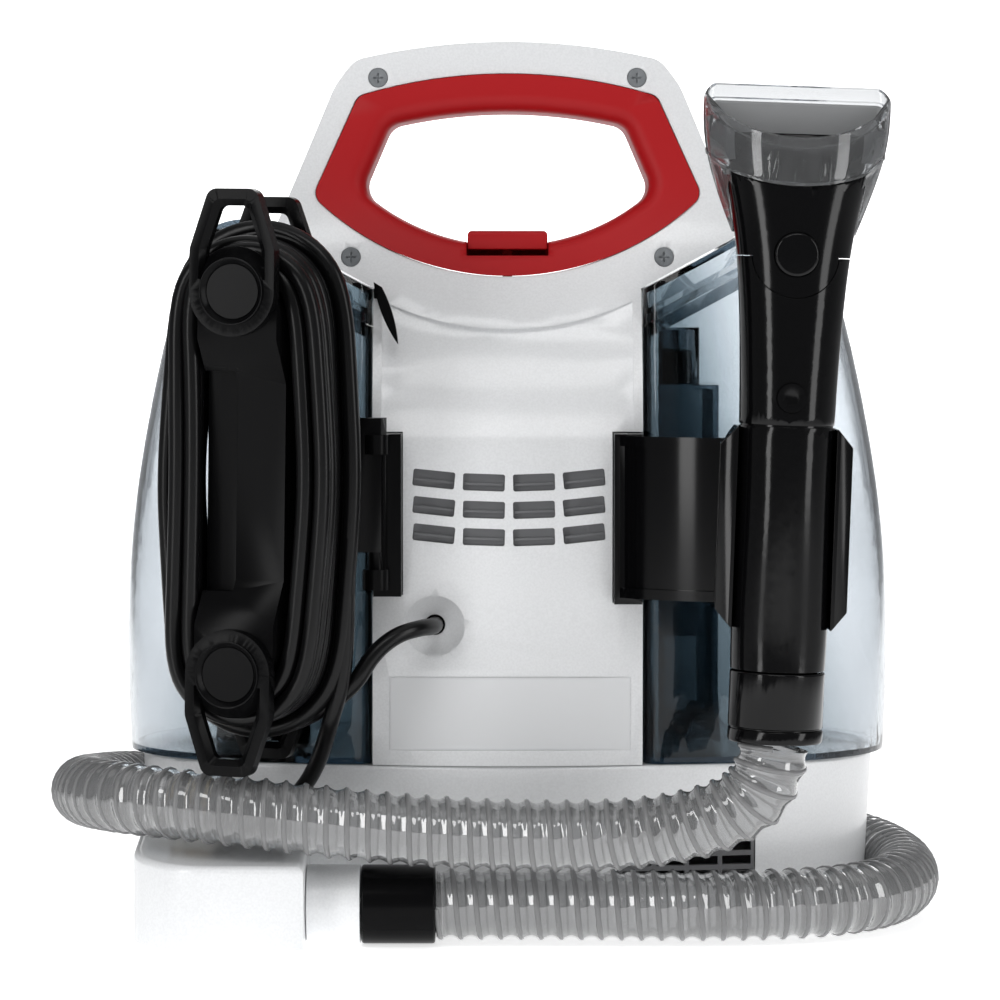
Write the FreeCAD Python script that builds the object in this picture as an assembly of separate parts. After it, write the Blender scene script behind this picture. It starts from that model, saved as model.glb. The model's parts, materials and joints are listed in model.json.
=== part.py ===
import FreeCAD, Part
import math
import os

# Portable carpet and upholstery cleaner: twin lift-off tanks, carry handle, cord reel, hose and spray tool.
# Frame: millimetres, +Z up, origin on the floor under the middle of the base, -Y is the machine's rear
# (cord, hose and tool side) and +X is on the right when the rear is looked at.
# Each function returns one sub-part and the table at the end writes each as its own STEP file.

V = FreeCAD.Vector

# ---------------------------------------------------------------- driving sizes
# base
base_half_width = 149.0
base_half_depth = 75.0
base_end_radius = 66.0
base_draft = 3.5
base_top = 67.0
base_wall = 2.6
foot_height = 3.0
foot_width = 8.0
foot_inset = 12.0
deck_hole_half_x = 46.0
deck_hole_half_y = 60.0

# tower and handle
tower_half_width = 53.0
tower_wall = 2.6
panel_rear = 76.0
panel_front = 73.0
panel_bulge_radius = 300.0
head_low_z = 254.0
head_slope_deg = 28.0
head_half_width = 94.0
shoulder_half_width = 67.0
shoulder_z = 341.0
overall_height = 353.0
cover_gap = 0.3

# grip opening
grip_width_top = 60.0
grip_width_mid = 78.0
grip_top_z = 340.0
grip_shoulder_z = 331.0
grip_mid_z = 291.0
grip_low_z = 259.0
hand_width_top = 47.0
hand_width_mid = 58.5
hand_top_z = 325.0
hand_shoulder_z = 319.5
hand_mid_z = 293.0
hand_low_z = 271.0

# tanks
tank_gap = 0.6
tank_wall = 2.4
tank_corner_radius = 7.0
lid_depth = 13.0
lid_skirt = 5.0
cap_radius = 17.0
cap_x = 100.0

# cord reel
reel_x = -97.1
reel_y = -102.5
reel_z = 180.5
reel_yaw_deg = -17.0
reel_lean_deg = 0.9
reel_post_spacing = 145.0
reel_core_half = 15.9
reel_arc_spacing = 126.0
reel_front = -21.7
reel_face = -10.0
reel_back = 14.6
reel_plate = 5.0
hook_radius = 17.0
hook_reach = 38.7
loop_reach = 36.4
hook_tip_half = 9.5
hook_shoulder_z = 16.0
hook_thickness = 6.0
hook_pin_radius = 5.0
knob_radius = 12.8
knob_face_radius = 10.3
coil_radius_in = 17.4
coil_radius_out = 37.0
coil_front = -18.0
coil_back = 14.2
cord_diameter = 6.6

# hose and tool
hose_diameter = 28.6
port_y = -95.0
port_z = 15.6
pipe_radius = 15.4
cuff_radius = 15.3
tool_x = 103.9
tool_y = -128.0
tool_z = 163.8
tool_tilt_deg = 2.0
tool_yaw_deg = 1.0
wand_radius = 18.0
wand_wall = 2.2
clip_wall = 4.5
clip_clearance = 0.5
fit_gap = 0.3

os.makedirs("parts", exist_ok=True)


# ---------------------------------------------------------------- helpers
def arc(a, b, c):
    """Arc edge through three points."""
    return Part.Arc(V(*a), V(*b), V(*c)).toShape()


def line(a, b):
    return Part.LineSegment(V(*a), V(*b)).toShape()


def prism(wire, direction):
    """Closed wire swept straight into a solid."""
    return Part.Face(wire).extrude(V(*direction))


def box(x0, x1, y0, y1, z0, z1):
    return Part.makeBox(x1 - x0, y1 - y0, z1 - z0, V(x0, y0, z0))


def cylinder(radius, height, base, axis=(0, 0, 1)):
    return Part.makeCylinder(radius, height, V(*base), V(*axis))


def cone(r0, r1, height, base, axis=(0, 0, 1)):
    return Part.makeCone(r0, r1, height, V(*base), V(*axis))


def fuse(shapes):
    """One clean solid from touching pieces."""
    whole = shapes[0]
    for shape in shapes[1:]:
        whole = whole.fuse(shape)
    return whole.removeSplitter()


def mirrored(shape):
    """Copy on the other side of the machine's middle plane."""
    return shape.mirror(V(0, 0, 0), V(1, 0, 0))


def rounded_polygon(points, radii):
    """Closed wire in the plane of its points, with a round corner of the given radius at each point."""
    edges, ends = [], []
    count = len(points)
    for i in range(count):
        here = V(*points[i])
        before = (V(*points[i - 1]) - here).normalize()
        after = (V(*points[(i + 1) % count]) - here).normalize()
        turn = math.pi - before.getAngle(after)
        back = radii[i] * math.tan(turn / 2)
        middle = (before + after).normalize()
        reach = radii[i] / math.cos(turn / 2) - radii[i]
        ends.append((here + before * back, here + middle * reach, here + after * back))
    for i in range(count):
        edges.append(Part.Arc(*ends[i]).toShape())
        edges.append(Part.LineSegment(ends[i][2], ends[(i + 1) % count][0]).toShape())
    return Part.Wire(edges)


def oval_values(half_width, half_depth, end_radius):
    """Centre distance and radius of a four-centre oval's long side arcs, and where they meet the end arcs."""
    centre_x = half_width - end_radius
    short = half_depth - end_radius
    side_centre = (centre_x**2 - short**2) / (2 * short)
    span = math.hypot(centre_x, side_centre)
    meet_x = centre_x + end_radius * centre_x / span
    meet_y = end_radius * side_centre / span
    return side_centre, half_depth + side_centre, meet_x, meet_y


def oval_wire(half_width, half_depth, end_radius, z):
    _, _, mx, my = oval_values(half_width, half_depth, end_radius)
    return Part.Wire([
        arc((-mx, -my, z), (0, -half_depth, z), (mx, -my, z)),
        arc((mx, -my, z), (half_width, 0, z), (mx, my, z)),
        arc((mx, my, z), (0, half_depth, z), (-mx, my, z)),
        arc((-mx, my, z), (-half_width, 0, z), (-mx, -my, z)),
    ])


def base_oval(offset, z):
    """The base outline at height z, moved outwards by offset."""
    inward = base_draft * (base_top - z) / (base_top - foot_height) - offset
    return oval_wire(base_half_width - inward, base_half_depth - inward, base_end_radius - inward, z)


def base_solid(offset, z0, z1):
    return Part.makeLoft([base_oval(offset, z0), base_oval(offset, z1)], True, True)


def tube_path(points, report=None):
    """Straight runs joined by arcs as large as the runs allow. Prints each arc's radius."""
    knots = [V(*p) for p in points]
    edges, radii = [], []
    start = knots[0]
    for i in range(1, len(knots) - 1):
        back, ahead = knots[i - 1] - knots[i], knots[i + 1] - knots[i]
        reach = 0.45 * min(back.Length, ahead.Length)
        back.normalize()
        ahead.normalize()
        turn = math.pi - back.getAngle(ahead)
        radius = reach / math.tan(turn / 2)
        radii.append(radius)
        first, last = knots[i] + back * reach, knots[i] + ahead * reach
        bisector = (back + ahead).normalize()
        middle = knots[i] + bisector * (radius / math.cos(turn / 2) - radius)
        edges.append(Part.LineSegment(start, first).toShape())
        edges.append(Part.Arc(first, middle, last).toShape())
        start = last
    edges.append(Part.LineSegment(start, knots[-1]).toShape())
    if report:
        print(report, "radii", [round(r, 1) for r in radii], "length", round(sum(e.Length for e in edges), 1))
    return edges


def tube(points, radius, report=None, bore=0.0):
    """Round tube along a route of straight runs and tangent arcs, each stretch built exactly."""
    pieces = []
    for edge in tube_path(points, report):
        place = edge.valueAt(edge.FirstParameter)
        ahead = edge.tangentAt(edge.FirstParameter)
        ring = Part.Face(Part.Wire(Part.makeCircle(radius, place, ahead)))
        if bore:
            ring = ring.cut(Part.Face(Part.Wire(Part.makeCircle(bore, place, ahead))))
        if edge.Curve.TypeId == "Part::GeomCircle":
            centre, axis = edge.Curve.Center, edge.Curve.Axis
            angle = math.degrees(edge.Length / edge.Curve.Radius)
            if axis.cross(place - centre).dot(ahead) < 0:
                axis = -axis
            pieces.append(ring.revolve(centre, axis, angle))
        else:
            pieces.append(ring.extrude(ahead * edge.Length))
    return fuse(pieces)


# ---------------------------------------------------------------- placed frames
head_slope = math.radians(head_slope_deg)


def place_reel(shape):
    """From the reel's own frame, centred with -Y outwards, to its place on the machine."""
    copy = shape.copy()
    copy.rotate(V(0, 0, 0), V(0, 1, 0), reel_lean_deg)
    copy.rotate(V(0, 0, 0), V(0, 0, 1), reel_yaw_deg)
    copy.translate(V(reel_x, reel_y, reel_z))
    return copy


def place_tool(shape):
    """From the tool's own frame, +Z along the wand from the middle of the clip, to its place on the machine."""
    copy = shape.copy()
    copy.rotate(V(0, 0, 0), V(0, 0, 1), tool_yaw_deg)
    copy.rotate(V(0, 0, 0), V(0, 1, 0), tool_tilt_deg)
    copy.translate(V(tool_x, tool_y, tool_z))
    return copy


# ---------------------------------------------------------------- tower outlines
def tower_outline(inset):
    """Rear view outline of the tower and handle head, made smaller by inset."""
    side = tower_half_width - inset
    flare_x = head_half_width - 1.3 * inset
    slope = math.tan(head_slope)
    low_z = head_low_z + inset / math.cos(head_slope)
    flare_z = low_z + (flare_x - tower_half_width) * slope
    top = overall_height - inset
    return low_z, flare_z, side, flare_x, top


def tower_wire(inset, y, bottom_z):
    low_z, flare_z, side, flare_x, top = tower_outline(inset)
    shoulder_x = shoulder_half_width - inset * 0.7
    side_z = low_z - inset * math.tan(head_slope)
    corner = (shoulder_z - inset - flare_z) / (flare_x - shoulder_x)
    soft = 9.0 - inset
    tip = V(flare_x, y, flare_z)
    along_low = (V(side, y, side_z) - tip).normalize()
    along_up = (V(shoulder_x, y, shoulder_z - inset) - tip).normalize()
    blend = 6.0
    flare = Part.Arc(tip + along_low * blend, tip + (along_low + along_up) * (blend * 0.30), tip + along_up * blend)
    right = [
        line((side, y, bottom_z), (side, y, side_z)),
        line((side, y, side_z), tuple(tip + along_low * blend)),
        flare.toShape(),
    ]
    crown = V(0, y, top)
    shoulder = V(shoulder_x, y, shoulder_z - inset)
    up_end = shoulder - (shoulder - tip).normalize() * soft
    crown_radius = 260.0
    drop = crown_radius - math.sqrt(crown_radius**2 - (shoulder_x - soft) ** 2)
    top_end = V(shoulder_x - soft, y, top - drop)
    corner_mid = (up_end + top_end) * 0.25 + shoulder * 0.5
    right.append(Part.LineSegment(tip + along_up * blend, up_end).toShape())
    curve = Part.BSplineCurve()
    curve.interpolate(
        [up_end, corner_mid, top_end],
        InitialTangent=(shoulder - tip).normalize(),
        FinalTangent=V(-1, 0, (shoulder_x - soft) / crown_radius).normalize(),
    )
    right.append(curve.toShape())
    left = [edge.mirror(V(0, 0, 0), V(1, 0, 0)) for edge in right]
    cap = Part.Arc(top_end, crown, V(-top_end.x, y, top_end.z)).toShape()
    foot = line((-side, y, bottom_z), (side, y, bottom_z))
    return Part.Wire(Part.__sortEdges__(right + [cap] + left + [foot]))


def tower_prism(inset, bottom_z):
    reach = 2 * panel_rear
    return prism(tower_wire(inset, -panel_rear, bottom_z), (0, reach, 0))


def side_points(inset):
    """Side view of the tower: rear line from floor to crown, as (y, z)."""
    i = inset
    rear = [(-panel_rear + i, base_top), (-panel_rear + 1 + i, 150), (-panel_rear + 5 + i, 200),
            (-52 + i, 243), (-34 + i, 270), (-25 + i, 300), (-21 + i, 330), (-19 + i, overall_height + 2)]
    front = [(panel_front - i, base_top), (panel_front - 1 - i, 150), (panel_front - 6 - i, 200),
             (48 - i, 243), (33 - i, 270), (25 - i, 300), (21 - i, 330), (19 - i, overall_height + 2)]
    return rear, front


def side_prism(inset, bottom_z):
    rear, front = side_points(inset)
    reach = head_half_width + 10
    left = Part.BSplineCurve()
    left.interpolate([V(-reach, y, z) for y, z in rear])
    right = Part.BSplineCurve()
    right.interpolate([V(-reach, y, z) for y, z in front])
    edges = [
        left.toShape(),
        line((-reach, rear[-1][0], rear[-1][1]), (-reach, front[-1][0], front[-1][1])),
        right.toShape(),
        line((-reach, front[0][0], base_top), (-reach, rear[0][0], base_top)),
    ]
    solid = prism(Part.Wire(Part.__sortEdges__(edges)), (2 * reach, 0, 0))
    if bottom_z < base_top:
        solid = solid.fuse(box(-reach, reach, rear[0][0], front[0][0], bottom_z, base_top + 0.01))
    return solid


def bulge(inset):
    """Upright cylinder slices that round the tower's rear and front faces."""
    radius = panel_bulge_radius - inset
    rear = cylinder(radius, overall_height + 20, (0, panel_bulge_radius - panel_rear, 0))
    front = cylinder(radius, overall_height + 20, (0, panel_front - panel_bulge_radius, 0))
    return rear.common(front)


def tower_body(inset, bottom_z):
    return tower_prism(inset, bottom_z).common(side_prism(inset, bottom_z)).common(bulge(inset))


def ring_wire(width_top, width_mid, top_z, shoulder, mid_z, low_z, corner, y):
    """Six-sided opening with a bowed top and a bowed bottom."""
    top = V(0, y, top_z)
    rs, rm = V(width_top, y, shoulder), V(width_mid, y, mid_z)
    low = V(0, y, low_z)
    crown = Part.Arc(V(-width_top, y, shoulder), top, rs).toShape()
    belly = Part.Arc(V(-width_mid, y, mid_z), low, rm).toShape()
    edges = [crown, Part.LineSegment(rs, rm).toShape(), belly,
             Part.LineSegment(V(-width_mid, y, mid_z), V(-width_top, y, shoulder)).toShape()]
    wire = Part.Wire(Part.__sortEdges__(edges))
    solid = Part.Face(wire).extrude(V(0, 4 * panel_rear, 0))
    upright = [e for e in solid.Edges if abs(e.tangentAt(e.FirstParameter).y) > 0.99]
    return solid.makeFillet(corner, upright)


def grip_prism(offset=0.0):
    return ring_wire(grip_width_top + offset, grip_width_mid + offset, grip_top_z + offset,
                     grip_shoulder_z + offset, grip_mid_z, grip_low_z - offset, 6.0, -2 * panel_rear)


def hand_prism(offset=0.0):
    return ring_wire(hand_width_top + offset, hand_width_mid + offset, hand_top_z + offset,
                     hand_shoulder_z + offset, hand_mid_z, hand_low_z - offset, 8.0, -2 * panel_rear)


scoop_depth = 3.0
scoop_low_z = 194.0
scoop_high_z = 249.0
scoop_sag = 11.0
scoop_lip_slope = 0.458
recess_x = 41.0
recess_z0, recess_z1 = 131.0, 198.0
bracket_low_z = 134.4
bracket_rod_x, bracket_rod_y = -51.2, -88.5
screw_spots = [(-52.0, 338.5), (52.0, 338.5), (-62.5, 266.5), (62.5, 266.5)]
screw_head_radius = 3.8
screw_shank_radius = 1.9
vent_columns, vent_rows = 4, 3
vent_slot_width, vent_slot_height = 16.4, 6.7
vent_pitch_x, vent_pitch_z = 19.6, 10.7
vent_centre_x, vent_centre_z = 0.5, 167.4
outlet_x, outlet_z = -28.6, 121.9
gland_radius = 3.9
dish_radius, dish_depth = 60.0, 2.5
funnel_radius, funnel_rim, funnel_drop = 14.5, 12.0, 1.2


face_y = -panel_rear + 2.0
outlet_floor_y = face_y + funnel_drop - math.sqrt(funnel_radius**2 - funnel_rim**2) + funnel_radius


def rear_face_y(z):
    """Where the tower's rear face lies at height z, on the middle plane."""
    rear, _ = side_points(0.0)
    curve = Part.BSplineCurve()
    curve.interpolate([V(0, y, h) for y, h in rear])
    hit = curve.toShape().common(box(-1, 1, -200, 200, z - 0.05, z + 0.05))
    return hit.BoundBox.Center.y


def scoop_region():
    """Room in front of the scoop's sloping lower lip and below its bowed upper edge."""
    half = tower_half_width - 3.5
    low_y = rear_face_y(scoop_low_z)
    side = Part.makePolygon([V(-half, y, z) for y, z in [
        (low_y, scoop_low_z), (low_y - 60, scoop_low_z), (low_y - 60, scoop_high_z + 5),
        (low_y + (scoop_high_z + 5 - scoop_low_z) * scoop_lip_slope, scoop_high_z + 5), (low_y, scoop_low_z)]])
    y0 = low_y - 60
    below = prism(Part.Wire([
        arc((-half, y0, scoop_high_z), (0, y0, scoop_high_z - scoop_sag), (half, y0, scoop_high_z)),
        line((half, y0, scoop_high_z), (half, y0, scoop_low_z)),
        line((half, y0, scoop_low_z), (-half, y0, scoop_low_z)),
        line((-half, y0, scoop_low_z), (-half, y0, scoop_high_z)),
    ]), (0, 120, 0))
    return prism(side, (2 * half, 0, 0)).common(below)


def vent_spots():
    """Slot centres and turns, along rows that bow down in the middle."""
    bow_radius = 290.0
    spots = []
    for row in range(vent_rows):
        for column in range(vent_columns):
            x = (column - (vent_columns - 1) / 2) * vent_pitch_x
            z = vent_centre_z + (1 - row) * vent_pitch_z + x * x / (2 * bow_radius)
            spots.append((x + vent_centre_x, z, math.degrees(x / bow_radius)))
    return spots


def tower_shell(rear_side):
    outer = tower_body(0.0, base_top)
    inner = tower_body(tower_wall, base_top - 1)
    shell = outer.cut(inner)
    half = box(-200, 200, -200, 0, 0, 400) if rear_side else box(-200, 200, cover_gap, 200, 0, 400)
    return shell.common(half).cut(grip_prism(fit_gap))


def rear_cover():
    shell = tower_shell(True)
    outer = tower_body(0.0, base_top)
    pushed = outer.copy()
    pushed.translate(V(0, scoop_depth, 0))
    thick = tower_body(0.5, base_top).cut(tower_body(tower_wall + scoop_depth, base_top - 1))
    half = tower_half_width - 1.0
    backing = thick.common(box(-half, half, -120, -30, scoop_low_z - 4, scoop_high_z - 2))
    backing = backing.cut(grip_prism(fit_gap))
    shell = shell.fuse(backing).cut(scoop_region().cut(pushed))
    # vents
    for x, z, turn in vent_spots():
        half_w, half_h = vent_slot_width / 2, vent_slot_height / 2
        slot = box(-half_w, half_w, -100, -50, -half_h, half_h)
        upright = [e for e in slot.Edges if abs(e.tangentAt(e.FirstParameter).y) > 0.99]
        slot = slot.makeFillet(0.9, upright)
        slot.rotate(V(0, 0, 0), V(0, 1, 0), -turn)
        slot.translate(V(x, 0, z))
        shell = shell.cut(slot)
    # dish with a funnel for the cord outlet, made on a thicker pad
    dish_radius_out = math.sqrt(dish_radius**2 - (dish_radius - dish_depth) ** 2)
    pad = cylinder(dish_radius_out + 2, 9.0, (outlet_x, face_y + 1.5, outlet_z), (0, 1, 0))
    ball = Part.makeSphere(dish_radius, V(outlet_x, face_y - dish_radius + dish_depth, outlet_z))
    funnel = Part.makeSphere(funnel_radius, V(outlet_x, outlet_floor_y - funnel_radius, outlet_z))
    shell = shell.fuse(pad.common(tower_body(0.5, base_top))).cut(ball).cut(funnel)
    shell = shell.cut(cylinder(gland_radius + 0.2, 40, (outlet_x, -90, outlet_z), (0, 1, 0)))
    # bracket notches on both edges
    for side in (-1, 1):
        x0, x1 = sorted((side * recess_x, side * (tower_half_width + 2)))
        low_z = bracket_low_z - 0.4 if side < 0 else recess_z0
        shell = shell.cut(box(x0, x1, -120, -panel_rear + 22, low_z, recess_z1))
    # screw bosses with seats for the heads
    for x, z in screw_spots:
        y = rear_face_y(z)
        boss = cylinder(screw_head_radius + 2.2, -y - 1.5, (x, y + 1.5, z), (0, 1, 0))
        shell = shell.fuse(boss.common(tower_body(0.8, base_top)).cut(grip_prism(fit_gap)))
        shell = shell.cut(cylinder(screw_head_radius + 0.2, 20, (x, y - 17.5, z), (0, 1, 0)))
        shell = shell.cut(cylinder(screw_shank_radius + 0.2, 60, (x, y - 5, z), (0, 1, 0)))
    # shallow seat for the rating label
    shell = shell.cut(box(-46.5, 48.5, -90, label_y, 73.0, label_top + 0.5))
    return shell.removeSplitter()


label_y = -panel_rear + 3.9
label_top = 101.6


def label_plate():
    """Blank rating label set into the rear cover."""
    return box(-46.0, 48.0, label_y - 0.5, label_y - 0.02, 73.5, label_top)


def front_cover():
    shell = tower_shell(False)
    for x, z in screw_spots:
        y = rear_face_y(z)
        post = cylinder(screw_head_radius + 1.2, -y - 2.0, (x, cover_gap, z), (0, 1, 0))
        post = post.common(tower_body(0.8, base_top)).cut(grip_prism(fit_gap))
        shell = shell.fuse(post).cut(cylinder(screw_shank_radius + 0.05, 12.4, (x, -0.5, z), (0, 1, 0)))
    return shell.removeSplitter()


def cover_screws():
    """Four pan-head screws that join the covers, each with a cross recess."""
    screws = []
    for x, z in screw_spots:
        y = rear_face_y(z)
        head = cylinder(screw_head_radius, 2.0, (x, y + 0.5, z), (0, 1, 0))
        shank = cylinder(screw_shank_radius, -y + 8.0, (x, y + 0.5, z), (0, 1, 0))
        cross = box(x - 2.0, x + 2.0, y, y + 1.6, z - 0.4, z + 0.4).fuse(
            box(x - 0.4, x + 0.4, y, y + 1.6, z - 2.0, z + 2.0))
        screws.append(head.fuse(shank).cut(cross).removeSplitter())
    return Part.makeCompound(screws)


def grip_ring():
    """Soft overmoulded ring round the hand opening, clamped between the covers."""
    swell = 0.8
    ring = tower_body(-swell, base_top).common(grip_prism()).cut(hand_prism())
    inner = [e for e in ring.Edges if _on_hand_edge(e)]
    ring = ring.makeFillet(7.0, inner)
    notch = box(-button_half - 0.4, button_half + 0.4, -200, -6.0, hand_low_z - 4.0, hand_low_z + 20)
    return ring.cut(notch).cut(box(-2.4, 2.4, -20.4, -15.6, 250.0, 270.0))


button_half = 16.0


def _on_hand_edge(edge):
    """True for the long edges where the opening's wall meets the ring's rear and front faces."""
    wall = hand_prism()
    ends = [edge.valueAt(edge.FirstParameter), edge.valueAt(edge.LastParameter),
            edge.valueAt((edge.FirstParameter + edge.LastParameter) / 2)]
    flat = all(wall.Shells[0].distToShape(Part.Vertex(p))[0] < 0.05 for p in ends)
    return flat and abs(edge.tangentAt(edge.FirstParameter).y) < 0.9


def power_button():
    """Red push button in the bottom of the grip ring, with the stem that works the switch."""
    x = button_half
    button = box(-x, x, -31.0, -6.4, 269.6, 277.0).common(tower_body(-0.6, base_top))
    top = [e for e in button.Edges if e.BoundBox.ZMin > 276.9]
    button = button.makeFillet(1.8, top)
    stem = box(-2.0, 2.0, -20.0, -16.0, 253.0, 270.0)
    return button.fuse(stem).removeSplitter()


def power_switch():
    """Switch body under the button, shaped to sit against the rear cover."""
    body = box(-13.0, 13.0, -60.0, -8.0, 230.0, 250.0)
    return body.common(tower_body(tower_wall + scoop_depth + fit_gap, base_top))


def vent_louvre():
    """Dark slatted plate behind the vent slots, with one ridge showing in each."""
    half = 1.5 * vent_pitch_x + vent_slot_width / 2 + vent_centre_x
    plate = box(-half, half, -90.0, -68.5, 148.5, 184.5).common(tower_body(tower_wall + fit_gap, base_top))
    for row in range(-1, 2):
        z = vent_centre_z + row * vent_pitch_z
        plate = plate.cut(box(-half + 3, half - 3, -71.0, -60.0, z - 3.0, z + 0.5))
    reach = vent_slot_width / 2 - 0.6
    for x, z, turn in vent_spots():
        ridge = box(-reach, reach, -80.0, -70.0, -1.2, -0.3)
        ridge.rotate(V(0, 0, 0), V(0, 1, 0), -turn)
        ridge.translate(V(x, 0, z))
        plate = plate.fuse(ridge.common(tower_body(tower_wall - 0.8, base_top)))
    return plate.removeSplitter()


# ---------------------------------------------------------------- base
deck_z = base_top - fit_gap
shroud_bottom = 6.8


def base_interior(offset):
    return base_solid(-base_wall - offset, shroud_bottom, deck_z - base_wall - offset)


exhaust_x0, exhaust_x1 = 43.0, 98.0
exhaust_z0, exhaust_z1 = 14.0, 43.0


def base_pan():
    """Bottom plate with the oval foot rim that the machine stands on."""
    plate = base_solid(0.0, foot_height, shroud_bottom - fit_gap)
    outer = oval_wire(base_half_width - foot_inset, base_half_depth - foot_inset,
                      base_end_radius - foot_inset, 0)
    inset = foot_inset + foot_width
    inner = oval_wire(base_half_width - inset, base_half_depth - inset, base_end_radius - inset, 0)
    rim = Part.Face(outer).cut(Part.Face(inner)).extrude(V(0, 0, foot_height + 0.5))
    return fuse([plate, rim])


def base_shroud():
    """White oval base with the deck that carries the tower and both tanks."""
    room = base_solid(-base_wall, shroud_bottom - 1, deck_z - base_wall)
    shell = base_solid(0.0, shroud_bottom, deck_z).cut(room)
    rim = [e for e in shell.Edges if e.BoundBox.ZMin > deck_z - 0.01]
    shell = shell.makeFillet(1.5, rim)
    hole = box(-deck_hole_half_x, deck_hole_half_x, -deck_hole_half_y, deck_hole_half_y, 50, 80)
    window = box(exhaust_x0, exhaust_x1, -100, -30, exhaust_z0, exhaust_z1)
    return shell.cut(hole).cut(window)


def exhaust_grille():
    """Louvred outlet let into the rear right of the base."""
    skin = base_solid(-0.4, exhaust_z0, exhaust_z1).cut(base_solid(-3.0, exhaust_z0 - 1, exhaust_z1 + 1))
    g = fit_gap
    frame_box = box(exhaust_x0 + g, exhaust_x1 - g, -100, -20, exhaust_z0 + g, exhaust_z1 - g)
    grille = skin.common(frame_box)
    pitch_x, pitch_z = 13.2, 5.5
    for column in range(4):
        for row in range(5):
            x = exhaust_x0 + 2.2 + column * pitch_x
            z = exhaust_z0 + 1.6 + row * pitch_z
            grille = grille.cut(box(x, x + pitch_x - 1.8, -100, -20, z, z + pitch_z - 2.0))
    return grille


housing_left, housing_right, housing_rear, housing_top = -145.0, -78.0, -124.0, 34.0


def port_housing():
    """Rounded white housing at the rear left that the hose pipe comes out of."""
    z0 = 2.0
    plan = Part.Wire([
        line((housing_left, -20, z0), (housing_left, housing_rear + 30, z0)),
        arc((housing_left, housing_rear + 30, z0), (housing_left + 9, housing_rear + 9, z0),
            (housing_left + 30, housing_rear, z0)),
        line((housing_left + 30, housing_rear, z0), (housing_right, housing_rear, z0)),
        line((housing_right, housing_rear, z0), (housing_right, -20, z0)),
        line((housing_right, -20, z0), (housing_left, -20, z0)),
    ])
    solid = prism(plan, (0, 0, 60))
    side = Part.makePolygon([V(-200, y, z) for y, z in
                             [(-150, z0), (-150, housing_top - 3), (-80, housing_top + 5), (-10, housing_top + 13),
                              (-10, z0), (-150, z0)]])
    solid = solid.common(prism(side, (300, 0, 0)))
    top = [e for e in solid.Edges if e.BoundBox.ZMin > housing_top - 8 and e.BoundBox.YMin < -21]
    solid = solid.makeFillet(3.0, top)
    inner = box(housing_left + 32, housing_right - 3, housing_rear + 3, -60, z0 + 2.5, housing_top - 4)
    solid = solid.cut(inner).cut(base_solid(fit_gap, foot_height - 2, deck_z))
    solid = solid.cut(box(-200, 0, -70, 0, 0, shroud_bottom))
    return solid.cut(cylinder(pipe_radius - 4.0, 12, (housing_right - 6, port_y, port_z), (1, 0, 0)))


pipe_end, cuff_end = -57.0, -28.0


def port_pipe():
    """Short white pipe with the narrower spigot that the cuff pushes over."""
    start_x = housing_right + fit_gap
    wide = cylinder(pipe_radius, pipe_end - start_x, (start_x, port_y, port_z), (1, 0, 0))
    spigot = cylinder(11.0, 20.0, (pipe_end - 1, port_y, port_z), (1, 0, 0))
    root = cylinder(pipe_radius - 4.3, 4.0, (housing_right - 3, port_y, port_z), (1, 0, 0))
    return fuse([wide, spigot, root]).cut(cylinder(9.0, 60, (housing_right - 5, port_y, port_z), (1, 0, 0)))


def hose_cuff():
    cuff = cylinder(cuff_radius, cuff_end - pipe_end - fit_gap, (pipe_end + fit_gap, port_y, port_z), (1, 0, 0))
    ends = [e for e in cuff.Edges if e.Length > 50]
    cuff = cuff.makeFillet(1.2, ends)
    return cuff.cut(cylinder(11.1, 40, (pipe_end - 1, port_y, port_z), (1, 0, 0)))


hose_points = [
    (-27.6, -95, 15.6), (28, -95, 15.6), (85, -97, 15), (135, -84, 15.2), (160, -45, 15.8), (162.5, 10, 17),
    (146, 62, 19), (103, 91, 21.5), (48, 98, 25), (-12, 99, 29), (-70, 95, 34), (-125, 84, 39.5),
    (-158, 50, 45), (-169.5, 0, 49.5), (-170, -48, 54), (-153, -92, 57), (-115, -113, 55.5), (-70, -116.5, 50.5),
    (-25, -115.5, 46), (22, -116, 44.6), (60, -120.5, 47.2), (85.5, -125.5, 55), (98.7, -127.7, 66.8),
    (101.0, -128, 81),
]


def hose():
    return tube(hose_points, hose_diameter / 2, "hose")


# ---------------------------------------------------------------- motor and pump
def motor_mount():
    """Plate that closes the deck hole and carries the suction motor."""
    g = fit_gap
    x, y = deck_hole_half_x, deck_hole_half_y
    plate = box(-x + g, x - g, -y + g, y - g, deck_z - base_wall - 3.5, deck_z)
    flange = box(-x - 3, x + 3, -y - 4, y + 4, deck_z - base_wall - 3.5, deck_z - base_wall - g)
    return fuse([plate, flange]).cut(cylinder(26.0, 30, (0, 0, 50)))


def fan_housing():
    """Round volute in the base with its outlet turned to the exhaust grille."""
    top = deck_z - base_wall - 3.5 - fit_gap
    cup = cylinder(44.0, top - shroud_bottom, (0, 0, shroud_bottom))
    spout = box(10.0, 70.0, -52.0, -28.0, 14.0, 43.0)
    cup = cup.fuse(spout).cut(cylinder(41.5, top - shroud_bottom - 5, (0, 0, shroud_bottom + 2.5)))
    cup = cup.cut(box(12.0, 80.0, -49.5, -30.5, 16.5, 40.5)).cut(cylinder(14.0, 90, (0, 0, shroud_bottom + 10)))
    return cup.common(base_interior(fit_gap)).removeSplitter()


motor_radius, motor_low, motor_high = 36.0, 67.0, 138.0
shaft_radius = 4.0


def motor_can():
    can = cylinder(motor_radius, motor_high - motor_low, (0, 0, motor_low))
    collar = cylinder(12.0, 6.0, (0, 0, motor_high - 0.1))
    return fuse([can, collar]).cut(cylinder(shaft_radius + 0.05, 120, (0, 0, motor_low - 5)))


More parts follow.
